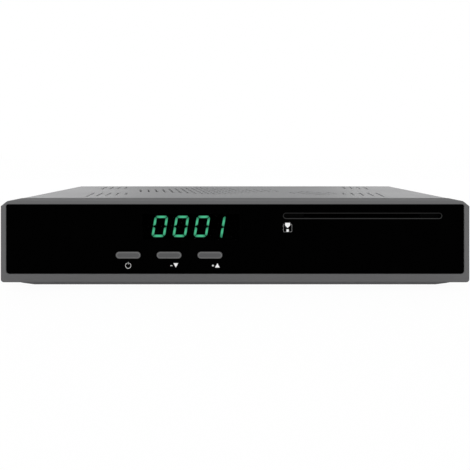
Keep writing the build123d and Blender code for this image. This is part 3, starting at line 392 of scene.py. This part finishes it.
sinkLook = dict(
    nickelLook, shade=(0.6, 0.61, 0.62), rough=0.36, line=0.3 * mm, along=(1, 0.03, 1),
    depth=0.01 * mm,
)
trayLook = {
    "shade": (0.5, 0.51, 0.52),
    "spread": 0.35,
    "crystal": 7 * mm,
    "crystalShare": 0.7,
    "edge": (0, 0.06),
    "frost": 0.8 * mm,
    "frostHigh": 0.4,
    "depth": 0.004 * mm,
    "rough": 0.42,
    "crystalRough": 0.16,
    "frostRough": 0.12,
}

# The three keys share one finish: a grainy face inside a painted highlight along the rim, with
# painted shade at the very edge.
buttonLook = dict(
    bezelLook,
    shade=(0.102, 0.102, 0.104),
    spread=0.12,
    grain=0.25 * mm,
    rough=0.55,
    gloss=0.12,
    keys=("power_button", "channel_down_button", "channel_up_button"),
    flange=1.1 * mm,
    rimEnds=(0.5, 0.72),  # shares of the way from the middle line to the edge
    # the rim's painted highlight, and the painted shade at the very edge
    rim=0.165,
    edgeShadeEnds=(0.87, 0.98),
    edge=0.04,
)


def buttonPlastic(look):
    made = Finish("buttonGrey")
    grain, shade = made.grains(look)
    boxes = [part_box(key) for key in look["keys"]]
    low, high = boxes[0]
    halfHigh = (high.z - low.z) / 2 - look["flange"]
    straight = (high.x - low.x) / 2 - look["flange"] - halfHigh
    up = made.axis("Z") - (low.z + high.z) / 2
    centres = [(low.x + high.x) / 2 for low, high in boxes]
    along = reduce(Value.least, [abs(made.axis("X") - centre) for centre in centres])
    along = (along - straight).most(0.0)
    out = (along * along + up * up) ** 0.5 / halfHigh  # 0 along the middle, 1 at the edge
    # painted highlight along the rim, which is also made a little smoother
    rim = made.rise(out, look["rimEnds"])
    shade = made.mix(rim, shade, look["rim"])
    # painted shade at the very edge of each key
    return made.done(
        Base_Color=made.mix(made.rise(out, look["edgeShadeEnds"]), shade, look["edge"]),
        Roughness=look["rough"] + (grain - 0.5) * look["grainRough"] - rim * look["rub"],
        Normal=made.bump(grain, look["depth"]),
        Specular_IOR_Level=look["gloss"],
    )


# Smoked acrylic: black from the front, clearer over the display, glossy at a slant.
windowLook = {
    "shade": (0.0003, 0.0003, 0.0003),
    "smudge": 9 * mm,
    "smudgeAlong": (1, 1, 0.5),
    "smudged": (0.5, 0.75),
    "smudgePaler": 1.6,
    "wipe": 0.4 * mm,
    "wipeAlong": (0.02, 1, 1),
    "rough": 0.05,
    "smudgeRough": 0.12,
    "wipeRough": 0.03,
    "gloss": 0.003,
    "margin": 0.1 * mm,
    "fade": 0.4 * mm,
    "tint": 0.6,
    "slantFrom": 0.09,
    "slantGain": 3,
    "slantRough": 0.04,
}


def smokedAcrylic(look):
    made = Finish("windowBlack")
    low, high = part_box("digit_display")
    middle = (low + high) / 2
    half = (high - low) / 2 - Vector((look["margin"],) * 3)
    across = (half.x - abs(made.axis("X") - middle.x)) / look["fade"]
    up = (half.z - abs(made.axis("Z") - middle.z)) / look["fade"]
    smudge = made.rise(made.noise(look["smudge"], 5, look["smudgeAlong"]), look["smudged"])
    wipe = made.noise(look["wipe"], 2, look["wipeAlong"])
    facing = made.node("LayerWeight", {}, {"Blend": 0.5}, "Facing")
    paler = scaled(look["shade"], look["smudgePaler"])
    return made.done(
        Base_Color=made.mix(smudge, look["shade"], paler),
        Roughness=look["rough"] + smudge * look["smudgeRough"] + wipe * look["wipeRough"],
        Specular_IOR_Level=look["gloss"],
        Coat_Weight=((facing - look["slantFrom"]) * look["slantGain"]).clamped(),
        Coat_Roughness=look["slantRough"],
        Alpha=1 - across.least(up).clamped() * look["tint"],
    )


# The card slot: the line around its mouth is moulded proud, with a painted highlight along its
# lower lip, painted shade along its upper lip, and the inside painted near black for shade.
slotLook = {
    "lowerLipHighlight": 0.046,
    "upperLipShade": 0.021,
    "insideShade": 0.0005,
    "mouth": 2.6 * mm,
    "proud": 0.3 * mm,
    "grain": 0.2 * mm,
    "grainShare": 0.3,
    "depth": 0.01 * mm,
    "rough": 0.5,
    "grainRough": 0.12,
    "gloss": 0.03,
}


def slotPlastic(look):
    made = Finish("slotPlastic")
    grain = made.noise(look["grain"])
    low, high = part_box("card_slot_guide")
    front = (made.axis("Y") - low.y) < look["proud"]
    # painted light: the lip is paler towards the bottom and darker towards the top, as if lit from
    # above
    up = ((made.axis("Z") - (low.z + high.z) / 2) / look["mouth"] + 0.5).clamped()
    lipLightAndShade = made.mix(up, look["lowerLipHighlight"], look["upperLipShade"])
    shade = made.mix(front, look["insideShade"], lipLightAndShade)
    return made.done(
        Base_Color=made.mix(grain * look["grainShare"], shade, look["insideShade"]),
        Roughness=look["rough"] + grain * look["grainRough"],
        Specular_IOR_Level=look["gloss"],
        Normal=made.bump(grain, look["depth"]),
    )


# Lit segments: brightest halfway along each bar, dimmer where bars meet.
segmentLook = {
    "body": (0.05, 0.2, 0.12),
    "deep": (0.015, 0.15, 0.075),
    "bright": (0.062, 0.45, 0.236),
    "strength": 2.8,
    "patch": 1.8 * mm,
    "uneven": 0.3,
    "digits": (-35.6 * mm, -25.65 * mm, -15.7 * mm, -8.45 * mm),
    "width": 5.3 * mm,
    "height": 9 * mm,
    "slant": 9.5,
    "fade": 2.1 * mm,
    "glowEnds": (0.1, 0.85),
    "rough": 0.4,
    "glowRough": 0.1,
}


def litPlastic(look):
    made = Finish("segmentGreen")
    low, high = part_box("lit_segments")
    up = made.axis("Z") - (low.z + high.z) / 2
    upright = made.axis("X") - up * tan(radians(look["slant"]))
    half = look["width"] / 2
    side = reduce(Value.least, [abs(abs(upright - digit) - half) for digit in look["digits"]])
    level = up.bounced(look["height"] / 4)
    meeting = (side * side + level * level) ** 0.5 / look["fade"]
    uneven = made.noise(look["patch"]) * look["uneven"] - look["uneven"] / 2
    glow = made.rise(meeting + uneven, look["glowEnds"])
    return made.done(
        Base_Color=colour(look["body"]),
        Roughness=look["rough"] + glow * look["glowRough"],
        Emission_Color=made.mix(glow, look["deep"], look["bright"]),
        Emission_Strength=look["strength"],
    )


# Circuit board: solder resist over tracks, with tinned dots.
boardLook = {
    "resist": (0.006, 0.07, 0.028),
    "track": (0.014, 0.125, 0.05),
    "tin": (0.55, 0.55, 0.53),
    "run": 17.6 * mm,
    "runHigh": 0.12,
    "runLine": 0.03,
    "runOffset": 0.37,
    "patch": 14 * mm,
    "tracked": (0.42, 0.46),
    "dot": 5.08 * mm,
    "dotReach": 0.09,
    "weave": 0.5 * mm,
    "weaveHigh": 0.15,
    "depth": 0.03 * mm,
    "rough": 0.38,
    "weaveRough": 0.12,
    "dotSmooth": 0.12,
    "dotMetal": 0.9,
}


def circuitBoard(look):
    made = Finish("boardLaminate")
    weave = made.noise(look["weave"])
    sockets = {
        "Vector": made.spot(),
        "Color1": colour(0),
        "Color2": colour(0),
        "Mortar": colour(1),
        "Scale": 1 / look["run"],
        "Mortar Size": look["runLine"],
        "Row Height": look["runHigh"],
    }
    runs = made.node("TexBrick", {"offset": look["runOffset"], "squash": 1.0}, sockets)
    track = runs * made.rise(made.noise(look["patch"]), look["tracked"])
    dots = made.cells(look["dot"]) < look["dotReach"]
    shade = made.mix(track, look["resist"], look["track"])
    return made.done(
        Base_Color=made.mix(dots, shade, look["tin"]),
        Roughness=look["rough"] + weave * look["weaveRough"] - dots * look["dotSmooth"],
        Metallic=dots * look["dotMetal"],
        Normal=made.bump(track + weave * look["weaveHigh"], look["depth"]),
    )


# Flat cable: pale film with conductors showing through.
ribbonLook = {
    "film": (0.66, 0.66, 0.63),
    "wire": (0.42, 0.42, 0.42),
    "pitch": 1 * mm,
    "wired": (0.22, 0.3),
    "depth": 0.05 * mm,
    "rough": 0.35,
    "wireRough": 0.1,
}


def ribbonFilm(look):
    made = Finish("ribbonFilm")
    wire = made.fall((made.axis("X") / look["pitch"]).bounced(0.5), look["wired"])
    return made.done(
        Base_Color=made.mix(wire, look["film"], look["wire"]),
        Roughness=look["rough"] + wire * look["wireRough"],
        Normal=made.bump(wire, look["depth"]),
    )


# The face behind the digits: matt black film with a faint cloud.
displayLook = {
    "shade": 0.0004,
    "cloud": 0.0012,
    "patch": 2 * mm,
    "depth": 0.01 * mm,
    "rough": 0.8,
    "cloudRough": 0.15,
}


def displayFilm(look):
    made = Finish("displayFilm")
    cloud = made.noise(look["patch"])
    return made.done(
        Base_Color=made.mix(cloud, look["shade"], look["cloud"]),
        Roughness=look["rough"] + cloud * look["cloudRough"],
        Specular_IOR_Level=0.0,
        Normal=made.bump(cloud, look["depth"]),
    )


# White ink, a little greyer where it lies thin.
printLook = {
    "shade": (0.97, 0.97, 0.97),
    "thin": 0.9,
    "patch": 0.6 * mm,
    "rough": 0.5,
    "coverRough": 0.15,
    "gloss": 0.2,
}


def printedInk(look):
    made = Finish("printInk")
    cover = made.noise(look["patch"], 3)
    return made.done(
        Base_Color=made.mix(cover, scaled(look["shade"], look["thin"]), look["shade"]),
        Roughness=look["rough"] + cover * look["coverRough"],
        Specular_IOR_Level=look["gloss"],
    )


finishes = {
    "bezel_grey": mouldedPlastic("bezelGrey", bezelLook, seamShadowLook),
    "window_black": smokedAcrylic(windowLook),
    "button_grey": buttonPlastic(buttonLook),
    "slot_plastic": slotPlastic(slotLook),
    "case_paint": powderCoat("casePaint", coverLook, "top_cover", seamShadowLook),
    "tray_steel": galvanised("traySteel", trayLook),
    "rear_paint": powderCoat("rearPaint", rearLook),
    "foot_rubber": mouldedPlastic("footRubber", rubberLook),
    "board_laminate": circuitBoard(boardLook),
    "black_plastic": mouldedPlastic("blackPlastic", blackPlasticLook),
    "white_plastic": mouldedPlastic("whitePlastic", whitePlasticLook),
    "socket_metal": drawnMetal("socketMetal", nickelLook),
    "screw_steel": drawnMetal("screwSteel", zincLook),
    "sink_aluminium": drawnMetal("sinkAluminium", sinkLook),
    "contact_gold": drawnMetal("contactGold", goldLook),
    "chip_resin": mouldedPlastic("chipResin", resinLook),
    "segment_green": litPlastic(segmentLook),
    "ribbon_film": ribbonFilm(ribbonLook),
}
printInk = printedInk(printLook)

for subpart in frame["record"]["subparts"]:
    mesh = nodes[subpart["node"]].data
    mesh.materials.clear()
    mesh.materials.append(finishes[subpart["material_slot"]])
nodes["digit_display"].data.materials[0] = displayFilm(displayLook)
nodes["rocker_pin"].data.materials[0] = finishes["black_plastic"]
print("stage 3: finishes made,", len(finishes) + 2)


# Turns a finished bmesh into an object at the origin that moves with a body.
def makePiece(name, shape, material, body):
    bmesh.ops.recalc_face_normals(shape, faces=shape.faces)
    mesh = bpy.data.meshes.new(name)
    shape.to_mesh(mesh)
    shape.free()
    mesh.materials.append(material)
    piece = addToScene(name, mesh)
    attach(piece, body)
    return piece


def vertsOf(parts):
    return [part for part in parts if isinstance(part, bmesh.types.BMVert)]


# Puts one bmesh into another and frees it.
def addShape(shape, other):
    mesh = bpy.data.meshes.new("added")
    other.to_mesh(mesh)
    other.free()
    shape.from_mesh(mesh)
    bpy.data.meshes.remove(mesh)


# Gives a flat shape a thickness along Y.
def thicken(shape, thick):
    raised = bmesh.ops.extrude_face_region(shape, geom=list(shape.faces))["geom"]
    bmesh.ops.translate(shape, verts=vertsOf(raised), vec=(0, thick, 0))


inkThick = 0.02 * mm
ringSteps = 40
tiny = 0.001 * mm  # points nearer than this are one
standing = Matrix.Rotation(radians(90), 4, "X")  # from flat on the floor to upright
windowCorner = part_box("front_window")[0]  # its face along Y and its low edge along Z


# A printed mark is drawn flat in X and Z, then thickened off the window.
def printMark(name, shape, x, up):
    thicken(shape, -inkThick)
    place = (x, windowCorner.y, windowCorner.z + up)
    bmesh.ops.translate(shape, verts=shape.verts, vec=place)
    makePiece(name, shape, printInk, "receiver")


# A flat bar, upright in X and Z.
def addBar(shape, width, height, x=0.0, z=0.0):
    size = Matrix.Diagonal((width, height, 1, 1))
    place = Matrix.Translation((x, 0, z))
    bmesh.ops.create_grid(
        shape, x_segments=1, y_segments=1, size=0.5, matrix=place @ standing @ size
    )


# A flat triangle, pointing up with up = 1 and down with up = -1.
def addTriangle(shape, width, height, z, up):
    size = Matrix.Diagonal((width / 3 ** 0.5, 1, up * height / 1.5, 1))
    place = Matrix.Translation((0, 0, z - up * height / 6))
    bmesh.ops.create_circle(
        shape, cap_ends=True, radius=1, segments=3, matrix=place @ size @ standing
    )


# A flat ring, open at the top by a gap in degrees.
def addRing(shape, radius, stroke, gap=0):
    start = Matrix.Rotation(radians(gap / 2), 3, "Y")
    ends = [
        shape.verts.new(start @ Vector((0, 0, radius + side * stroke / 2))) for side in (-1, 1)
    ]
    edge = shape.edges.new(ends)
    bmesh.ops.spin(
        shape, geom=[*ends, edge], cent=(0, 0, 0), axis=(0, 1, 0), angle=radians(360 - gap),
        steps=ringSteps,
    )
    bmesh.ops.remove_doubles(shape, verts=shape.verts, dist=tiny)


marks = {
    "height": 3.78 * mm,  # above the window's low edge
    "powerX": -50.22 * mm,
    "ring": 1.27 * mm,
    "stroke": 0.175 * mm,
    "gap": 50,
    "barFrom": 0.65 * mm,
    "barTo": 1.65 * mm,
    "downX": -27.83 * mm,
    "upX": -8.32 * mm,
    "arrow": 2.27 * mm,
    "arrowHigh": 2.06 * mm,
    "arrowUp": 0.12 * mm,
    "signLeft": 2.1 * mm,
    "sign": 0.95 * mm,
    "signStroke": 0.3 * mm,
}


def makePowerMark(look):
    shape = bmesh.new()
    addRing(shape, look["ring"], look["stroke"], look["gap"])
    low, high = look["barFrom"], look["barTo"]
    addBar(shape, look["stroke"], high - low, 0, (high + low) / 2)
    printMark("powerMark", shape, look["powerX"], look["height"])


def makeChannelMark(name, look, x, up):
    shape = bmesh.new()
    addTriangle(shape, look["arrow"], look["arrowHigh"], look["arrowUp"], up)
    stroke = look["signStroke"]
    addBar(shape, look["sign"], stroke, -look["signLeft"])
    if up > 0:
        half = (look["sign"] - stroke) / 2
        for side in (-1, 1):
            addBar(shape, stroke, half, -look["signLeft"], side * (stroke + half) / 2)
    printMark(name, shape, x, look["height"])


makePowerMark(marks)
makeChannelMark("channelDownMark", marks, marks["downX"], -1)
makeChannelMark("channelUpMark", marks, marks["upX"], 1)

cardMark = {
    "x": 24.68 * mm,
    "height": 21.4 * mm,  # above the window's low edge
    "width": 4.03 * mm,
    "tall": 3.5 * mm,
    "line": 0.045 * mm,
    "shield": 2.32 * mm,
    "band": 1.3 * mm,
    "point": 1.15 * mm,
    "over": 0.75 * mm,
    "chip": 1.08 * mm,
    "chipTall": 1.25 * mm,
    "chipUp": -0.03 * mm,
}


# A card: its outline, a wide arrow over its top edge and the chip near its foot.
def makeCardMark(look):
    shape = bmesh.new()
    halfWidth, halfTall, line = look["width"] / 2, look["tall"] / 2, look["line"]
    shoulder = halfWidth - line - look["shield"] / 2
    for side in (-1, 1):
        addBar(shape, line, look["tall"], side * (halfWidth - line / 2))
        shoulderX = side * (look["shield"] + shoulder) / 2
        addBar(shape, shoulder, line, shoulderX, halfTall - line / 2)
    addBar(shape, look["width"] - 2 * line, line, 0, line / 2 - halfTall)
    bandLow = halfTall + look["over"] - look["band"]
    addBar(shape, look["shield"], look["band"], 0, bandLow + look["band"] / 2)
    addTriangle(shape, look["shield"], look["point"], bandLow - look["point"] / 2, -1)
    chipZ = look["chipTall"] / 2 + look["chipUp"] - halfTall
    addBar(shape, look["chip"], look["chipTall"], 0, chipZ)
    printMark("cardMark", shape, look["x"], look["height"])


makeCardMark(cardMark)

rockerMark = {"tall": 3.2 * mm, "stroke": 0.45 * mm, "radius": 1.35 * mm, "outwards": 0.9}


# On and off as a bar and a ring, printed on the rocker's two slopes: the bar's side is pressed in.
def makeRockerMarks(node, look):
    slopes = {}
    for face in nodes[node].data.polygons:
        if face.normal.y > look["outwards"]:
            slopes.setdefault(round(face.normal.x, 2), []).append(face)
    widest = sorted(slopes.values(), key=lambda faces: sum(face.area for face in faces))[-2:]
    pressed, raised = sorted(widest, key=lambda faces: abs(faces[0].normal.x))
    for name, faces in (("onMark", pressed), ("offMark", raised)):
        whole = sum(face.area for face in faces)
        middle = sum((face.center * face.area for face in faces), Vector()) / whole
        shape = bmesh.new()
        if name == "onMark":
            addBar(shape, look["stroke"], look["tall"])
        else:
            addRing(shape, look["radius"], look["stroke"])
        thicken(shape, inkThick)
        lean = Vector((0, 1, 0)).rotation_difference(faces[0].normal).to_matrix().to_4x4()
        place = Matrix.Translation(middle) @ lean
        bmesh.ops.transform(shape, matrix=place, verts=shape.verts)
        makePiece(name, shape, printInk, "switch_rocker")


makeRockerMarks("rocker", rockerMark)
print("stage 4: printed marks")

# Screw-on aerial sockets: a lathed body with a helical thread laid over its barrel.
aerialLook = {
    "crest": 4.76 * mm,
    "root": 4.3 * mm,
    "pitch": 0.794 * mm,
    "flank": 0.12,  # shares of the pitch
    "crestFrom": 0.48,
    "crestTo": 0.64,
    "hollow": 0.84,  # the sleeve's inside, as a share of its outside
    "threadSteps": 40,
    "steps": 64,
    "neck": 4.5 * mm,
    "tail": 2.8 * mm,
    "bore": 3.2 * mm,
    "boreDeep": 7.5 * mm,
    "collar": 0.8 * mm,
    "chamfer": 0.25 * mm,
    "panel": 0.8 * mm,
}


# Joins points of radius and place along Y in order, for a spin about Y.
def addProfile(shape, points):
    ring = [shape.verts.new((radius, along, 0)) for radius, along in points]
    return ring + [shape.edges.new(pair) for pair in zip(ring, ring[1:])]


def lathe(points, steps):
    shape = bmesh.new()
    bmesh.ops.spin(
        shape, geom=addProfile(shape, points), cent=(0, 0, 0), axis=(0, 1, 0),
        angle=radians(360), steps=steps, use_merge=True,
    )
    bmesh.ops.remove_doubles(shape, verts=shape.verts, dist=tiny)
    return shape


# A closed helical sleeve between two places along Y.
def addThread(shape, look, start, end):
    root, crest, pitch = look["root"], look["crest"], look["pitch"]
    shares = [
        (root, 0), (root, look["flank"]), (crest, look["crestFrom"]), (crest, look["crestTo"]),
        (root, 1),
    ]
    turns = ceil((end - start) / pitch) + 2
    profile = addProfile(shape, [(radius, start + (share - 1) * pitch) for radius, share in shares])
    bmesh.ops.spin(
        shape, geom=profile, cent=(0, 0, 0), axis=(0, 1, 0), angle=radians(360 * turns),
        steps=turns * look["threadSteps"], dvec=(0, pitch / look["threadSteps"], 0),
    )
    bmesh.ops.remove_doubles(shape, verts=shape.verts, dist=tiny)
    for place, outwards in ((start, -1), (end, 1)):
        bmesh.ops.bisect_plane(
            shape, geom=[*shape.verts, *shape.edges, *shape.faces], plane_co=(0, place, 0),
            plane_no=(0, outwards, 0), clear_outer=True,
        )
    rims = [edge for edge in shape.edges if edge.is_boundary]
    inner = bmesh.ops.extrude_edge_only(shape, edges=rims)["geom"]
    narrower = (look["hollow"], 1, look["hollow"])
    bmesh.ops.scale(shape, vec=narrower, verts=vertsOf(inner))
    bmesh.ops.bridge_loops(shape, edges=[edge for edge in shape.edges if edge.is_boundary])


def makeAerialSocket(name, node, look):
    low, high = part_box(node)
    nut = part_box("aerial_nuts")[1].y
    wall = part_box("rear_panel")[1].y - look["panel"]
    tip, slope, root, bore = high.y, look["chamfer"], look["root"], look["bore"]
    floor = tip - look["boreDeep"]
    shape = bmesh.new()
    addThread(shape, look, nut, tip - look["collar"])
    addShape(shape, lathe([
        (0, low.y), (look["tail"], low.y), (look["tail"], wall), (look["neck"], wall),
        (look["neck"], nut), (root, nut), (root, tip - slope), (root - slope, tip),
        (bore + slope, tip), (bore, tip - slope), (bore, floor), (0, floor),
    ], look["steps"]))
    place = ((low.x + high.x) / 2, 0, (low.z + high.z) / 2)
    bmesh.ops.translate(shape, verts=shape.verts, vec=place)
    piece = makePiece(name, shape, finishes["socket_metal"], "receiver")
    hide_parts(node)


for socketName in ("in", "out"):
    makeAerialSocket("aerialBarrel_" + socketName, "aerial_socket_" + socketName, aerialLook)

# Pan-head screws with a cross recess.
screwLook = {
    "head": 2.8 * mm,
    "rise": 1.5 * mm,
    # shares of the head's radius and of its rise, from the underside to the top
    "crown": ((0.96, 0), (1, 0.12), (0.97, 0.42), (0.85, 0.72), (0.62, 0.92), (0.3, 1), (0, 1)),
    "shank": 1.5 * mm,
    "length": 5 * mm,
    "point": 0.6,
    "pointFrom": 0.86,
    "arm": 3.3 * mm,
    "slit": 0.75 * mm,
    "deep": 0.9 * mm,
    "taper": 0.7,
    "steps": 48,
}


# One screw with the underside of its head at the origin and its head along -Y.
def screwShape(look):
    head, rise, shank, length = look["head"], look["rise"], look["shank"], look["length"]
    shape = lathe([
        (0, length), (shank * look["point"], length), (shank, length * look["pointFrom"]),
        (shank, 0), *((head * out, -rise * up) for out, up in look["crown"]),
    ], look["steps"])
    top = [face for face in shape.faces if face.calc_center_median().y < -rise / 2]
    for across in (Vector((1, 0, 0)), Vector((0, 0, 1))):
        for size in (look["slit"], look["arm"]):
            for side in (-1, 1):
                faces = [face for face in top if face.is_valid]
                parts = {part for face in faces for part in (face, *face.edges, *face.verts)}
                split = bmesh.ops.bisect_plane(
                    shape, geom=list(parts), plane_co=across * side * size / 2, plane_no=across
                )
                top = [part for part in split["geom"] if isinstance(part, bmesh.types.BMFace)]
    half, slit = look["arm"] / 2, look["slit"] / 2

    def inCross(face):
        middle = face.calc_center_median()
        x, z = abs(middle.x), abs(middle.z)
        return (x < slit and z < half) or (z < slit and x < half)

    cross = [face for face in top if inCross(face)]
    recess = vertsOf(bmesh.ops.extrude_face_region(shape, geom=cross)["geom"])
    lids = [face for face in top if face.is_valid and inCross(face)]
    bmesh.ops.delete(shape, geom=lids, context="FACES_ONLY")
    bmesh.ops.scale(shape, vec=(look["taper"], 0, look["taper"]), verts=recess)
    bmesh.ops.translate(shape, verts=recess, vec=(0, look["deep"] - rise, 0))
    return shape


def makeScrews(name, node, look, places):
    shape = bmesh.new()
    for place, turn in places:
        screw = screwShape(look)
        stand = Matrix.Translation(place) @ Matrix.Rotation(radians(turn), 4, "Z")
        bmesh.ops.transform(screw, matrix=stand, verts=screw.verts)
        addShape(shape, screw)
    piece = makePiece(name, shape, finishes["screw_steel"], "receiver")
    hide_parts(node)


rise, reach = screwLook["rise"], screwLook["head"]
low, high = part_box("cover_screws")
middleZ = (low.z + high.z) / 2
makeScrews("coverScrewSet", "cover_screws", screwLook, [
    (Vector((x, high.y - rise, middleZ)), 180) for x in (low.x + reach, high.x - reach)
])
low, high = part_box("side_screws")
middleZ = (low.z + high.z) / 2
makeScrews("sideScrewSet", "side_screws", screwLook, [
    (Vector((x, y, middleZ)), turn)
    for x, turn in ((low.x + rise, -90), (high.x - rise, 90))
    for y in (low.y + reach, high.y - reach)
])

# Rubber feet: a rounded rim round a shallow dish.
footLook = {
    "waist": 0.25 * mm,
    "waistTall": 0.4 * mm,
    "waistEnd": 0.8 * mm,
    "round": 0.9 * mm,
    "roundOff": 0.13,  # the rim's corner, as shares of its radius
    "roundHalf": 0.5,
    "flat": 1.1 * mm,
    "dish": 0.35 * mm,
    "dishSlope": 1.6,
    "steps": 56,
}


def makeFoot(name, node, look):
    low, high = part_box(node)
    radius, tall, curve = (high.x - low.x) / 2, high.z - low.z, look["round"]
    waist = radius - look["waist"]
    little, half = curve * look["roundOff"], curve * look["roundHalf"]
    shape = lathe([
        (0, tall), (waist, tall), (waist, tall - look["waistTall"]),
        (radius, tall - look["waistEnd"]), (radius, curve), (radius - little, half),
        (radius - half, little), (radius - curve, 0), (radius - curve - look["flat"], 0),
        (radius - curve - look["flat"] * look["dishSlope"], look["dish"]), (0, look["dish"]),
    ], look["steps"])
    place = Matrix.Translation(((low.x + high.x) / 2, (low.y + high.y) / 2, low.z))
    bmesh.ops.transform(shape, matrix=place @ standing, verts=shape.verts)
    piece = makePiece(name, shape, finishes["foot_rubber"], "receiver")
    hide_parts(node)


for place in ("front_left", "front_right", "rear_left", "rear_right"):
    makeFoot("rubberFoot_" + place, "foot_" + place, footLook)
print("stage 5: sockets, screws and feet")

studio = {
    "world": 0.97,
    "floor": 0.93,
    "floorGlow": 0.965,
    "floorSize": 12,
    "lamps": {
        "key": {"place": (-0.5, -0.9, 1.3), "size": 0.9, "power": 0.6},
        "rearLeft": {"place": (-0.5, 1.25, 0.32), "size": 0.5, "power": 0.8},
        "rearRight": {"place": (0.5, 1.25, 0.32), "size": 0.5, "power": 0.8},
    },
}


# 1 where the eye, a reflection or a clear panel looks straight at a surface.
def lookedAt(made):
    rays = ("Is Camera Ray", "Is Glossy Ray", "Is Transmission Ray")
    return reduce(Value.most, [made.node("LightPath", {}, {}, ray) for ray in rays])


def makeWorld(look):
    made = Finish("studio", bpy.data.worlds)
    soft = made.node("Background", {}, {"Color": colour(1), "Strength": look["world"]})
    seen = made.node("Background", {}, {"Color": colour(1), "Strength": 1.0})
    both = made.node("MixShader", {}, {0: lookedAt(made), 1: soft, 2: seen})
    made.node("OutputWorld", {}, {"Surface": both})
    bpy.context.scene.world = made.holder


def makeFloor(look):
    shape = bmesh.new()
    bmesh.ops.create_grid(shape, x_segments=1, y_segments=1, size=look["floorSize"])
    mesh = bpy.data.meshes.new("floor")
    shape.to_mesh(mesh)
    shape.free()
    made = Finish("floorPaper")
    paper = made.node("BsdfDiffuse", {}, {"Color": colour(look["floor"])})
    white = made.node("Emission", {}, {"Color": colour(1), "Strength": 1.0})
    glow = lookedAt(made) * look["floorGlow"]
    surface = made.node("MixShader", {}, {0: glow, 1: paper, 2: white})
    made.node("OutputMaterial", {}, {"Surface": surface})
    mesh.materials.append(made.holder)
    floor = addToScene("floor", mesh)


def makeLamp(name, look):
    lamp = bpy.data.lights.new(name, "AREA")
    lamp.shape = "DISK"
    lamp.size = look["size"]
    lamp.energy = look["power"]
    holder = addToScene(name, lamp)
    holder.location = look["place"]
    holder.rotation_euler = (-Vector(look["place"])).to_track_quat("-Z", "Y").to_euler()


makeWorld(studio)
makeFloor(studio)
for lampName, lampLook in studio["lamps"].items():
    makeLamp(lampName, lampLook)
print("stage 6: studio")
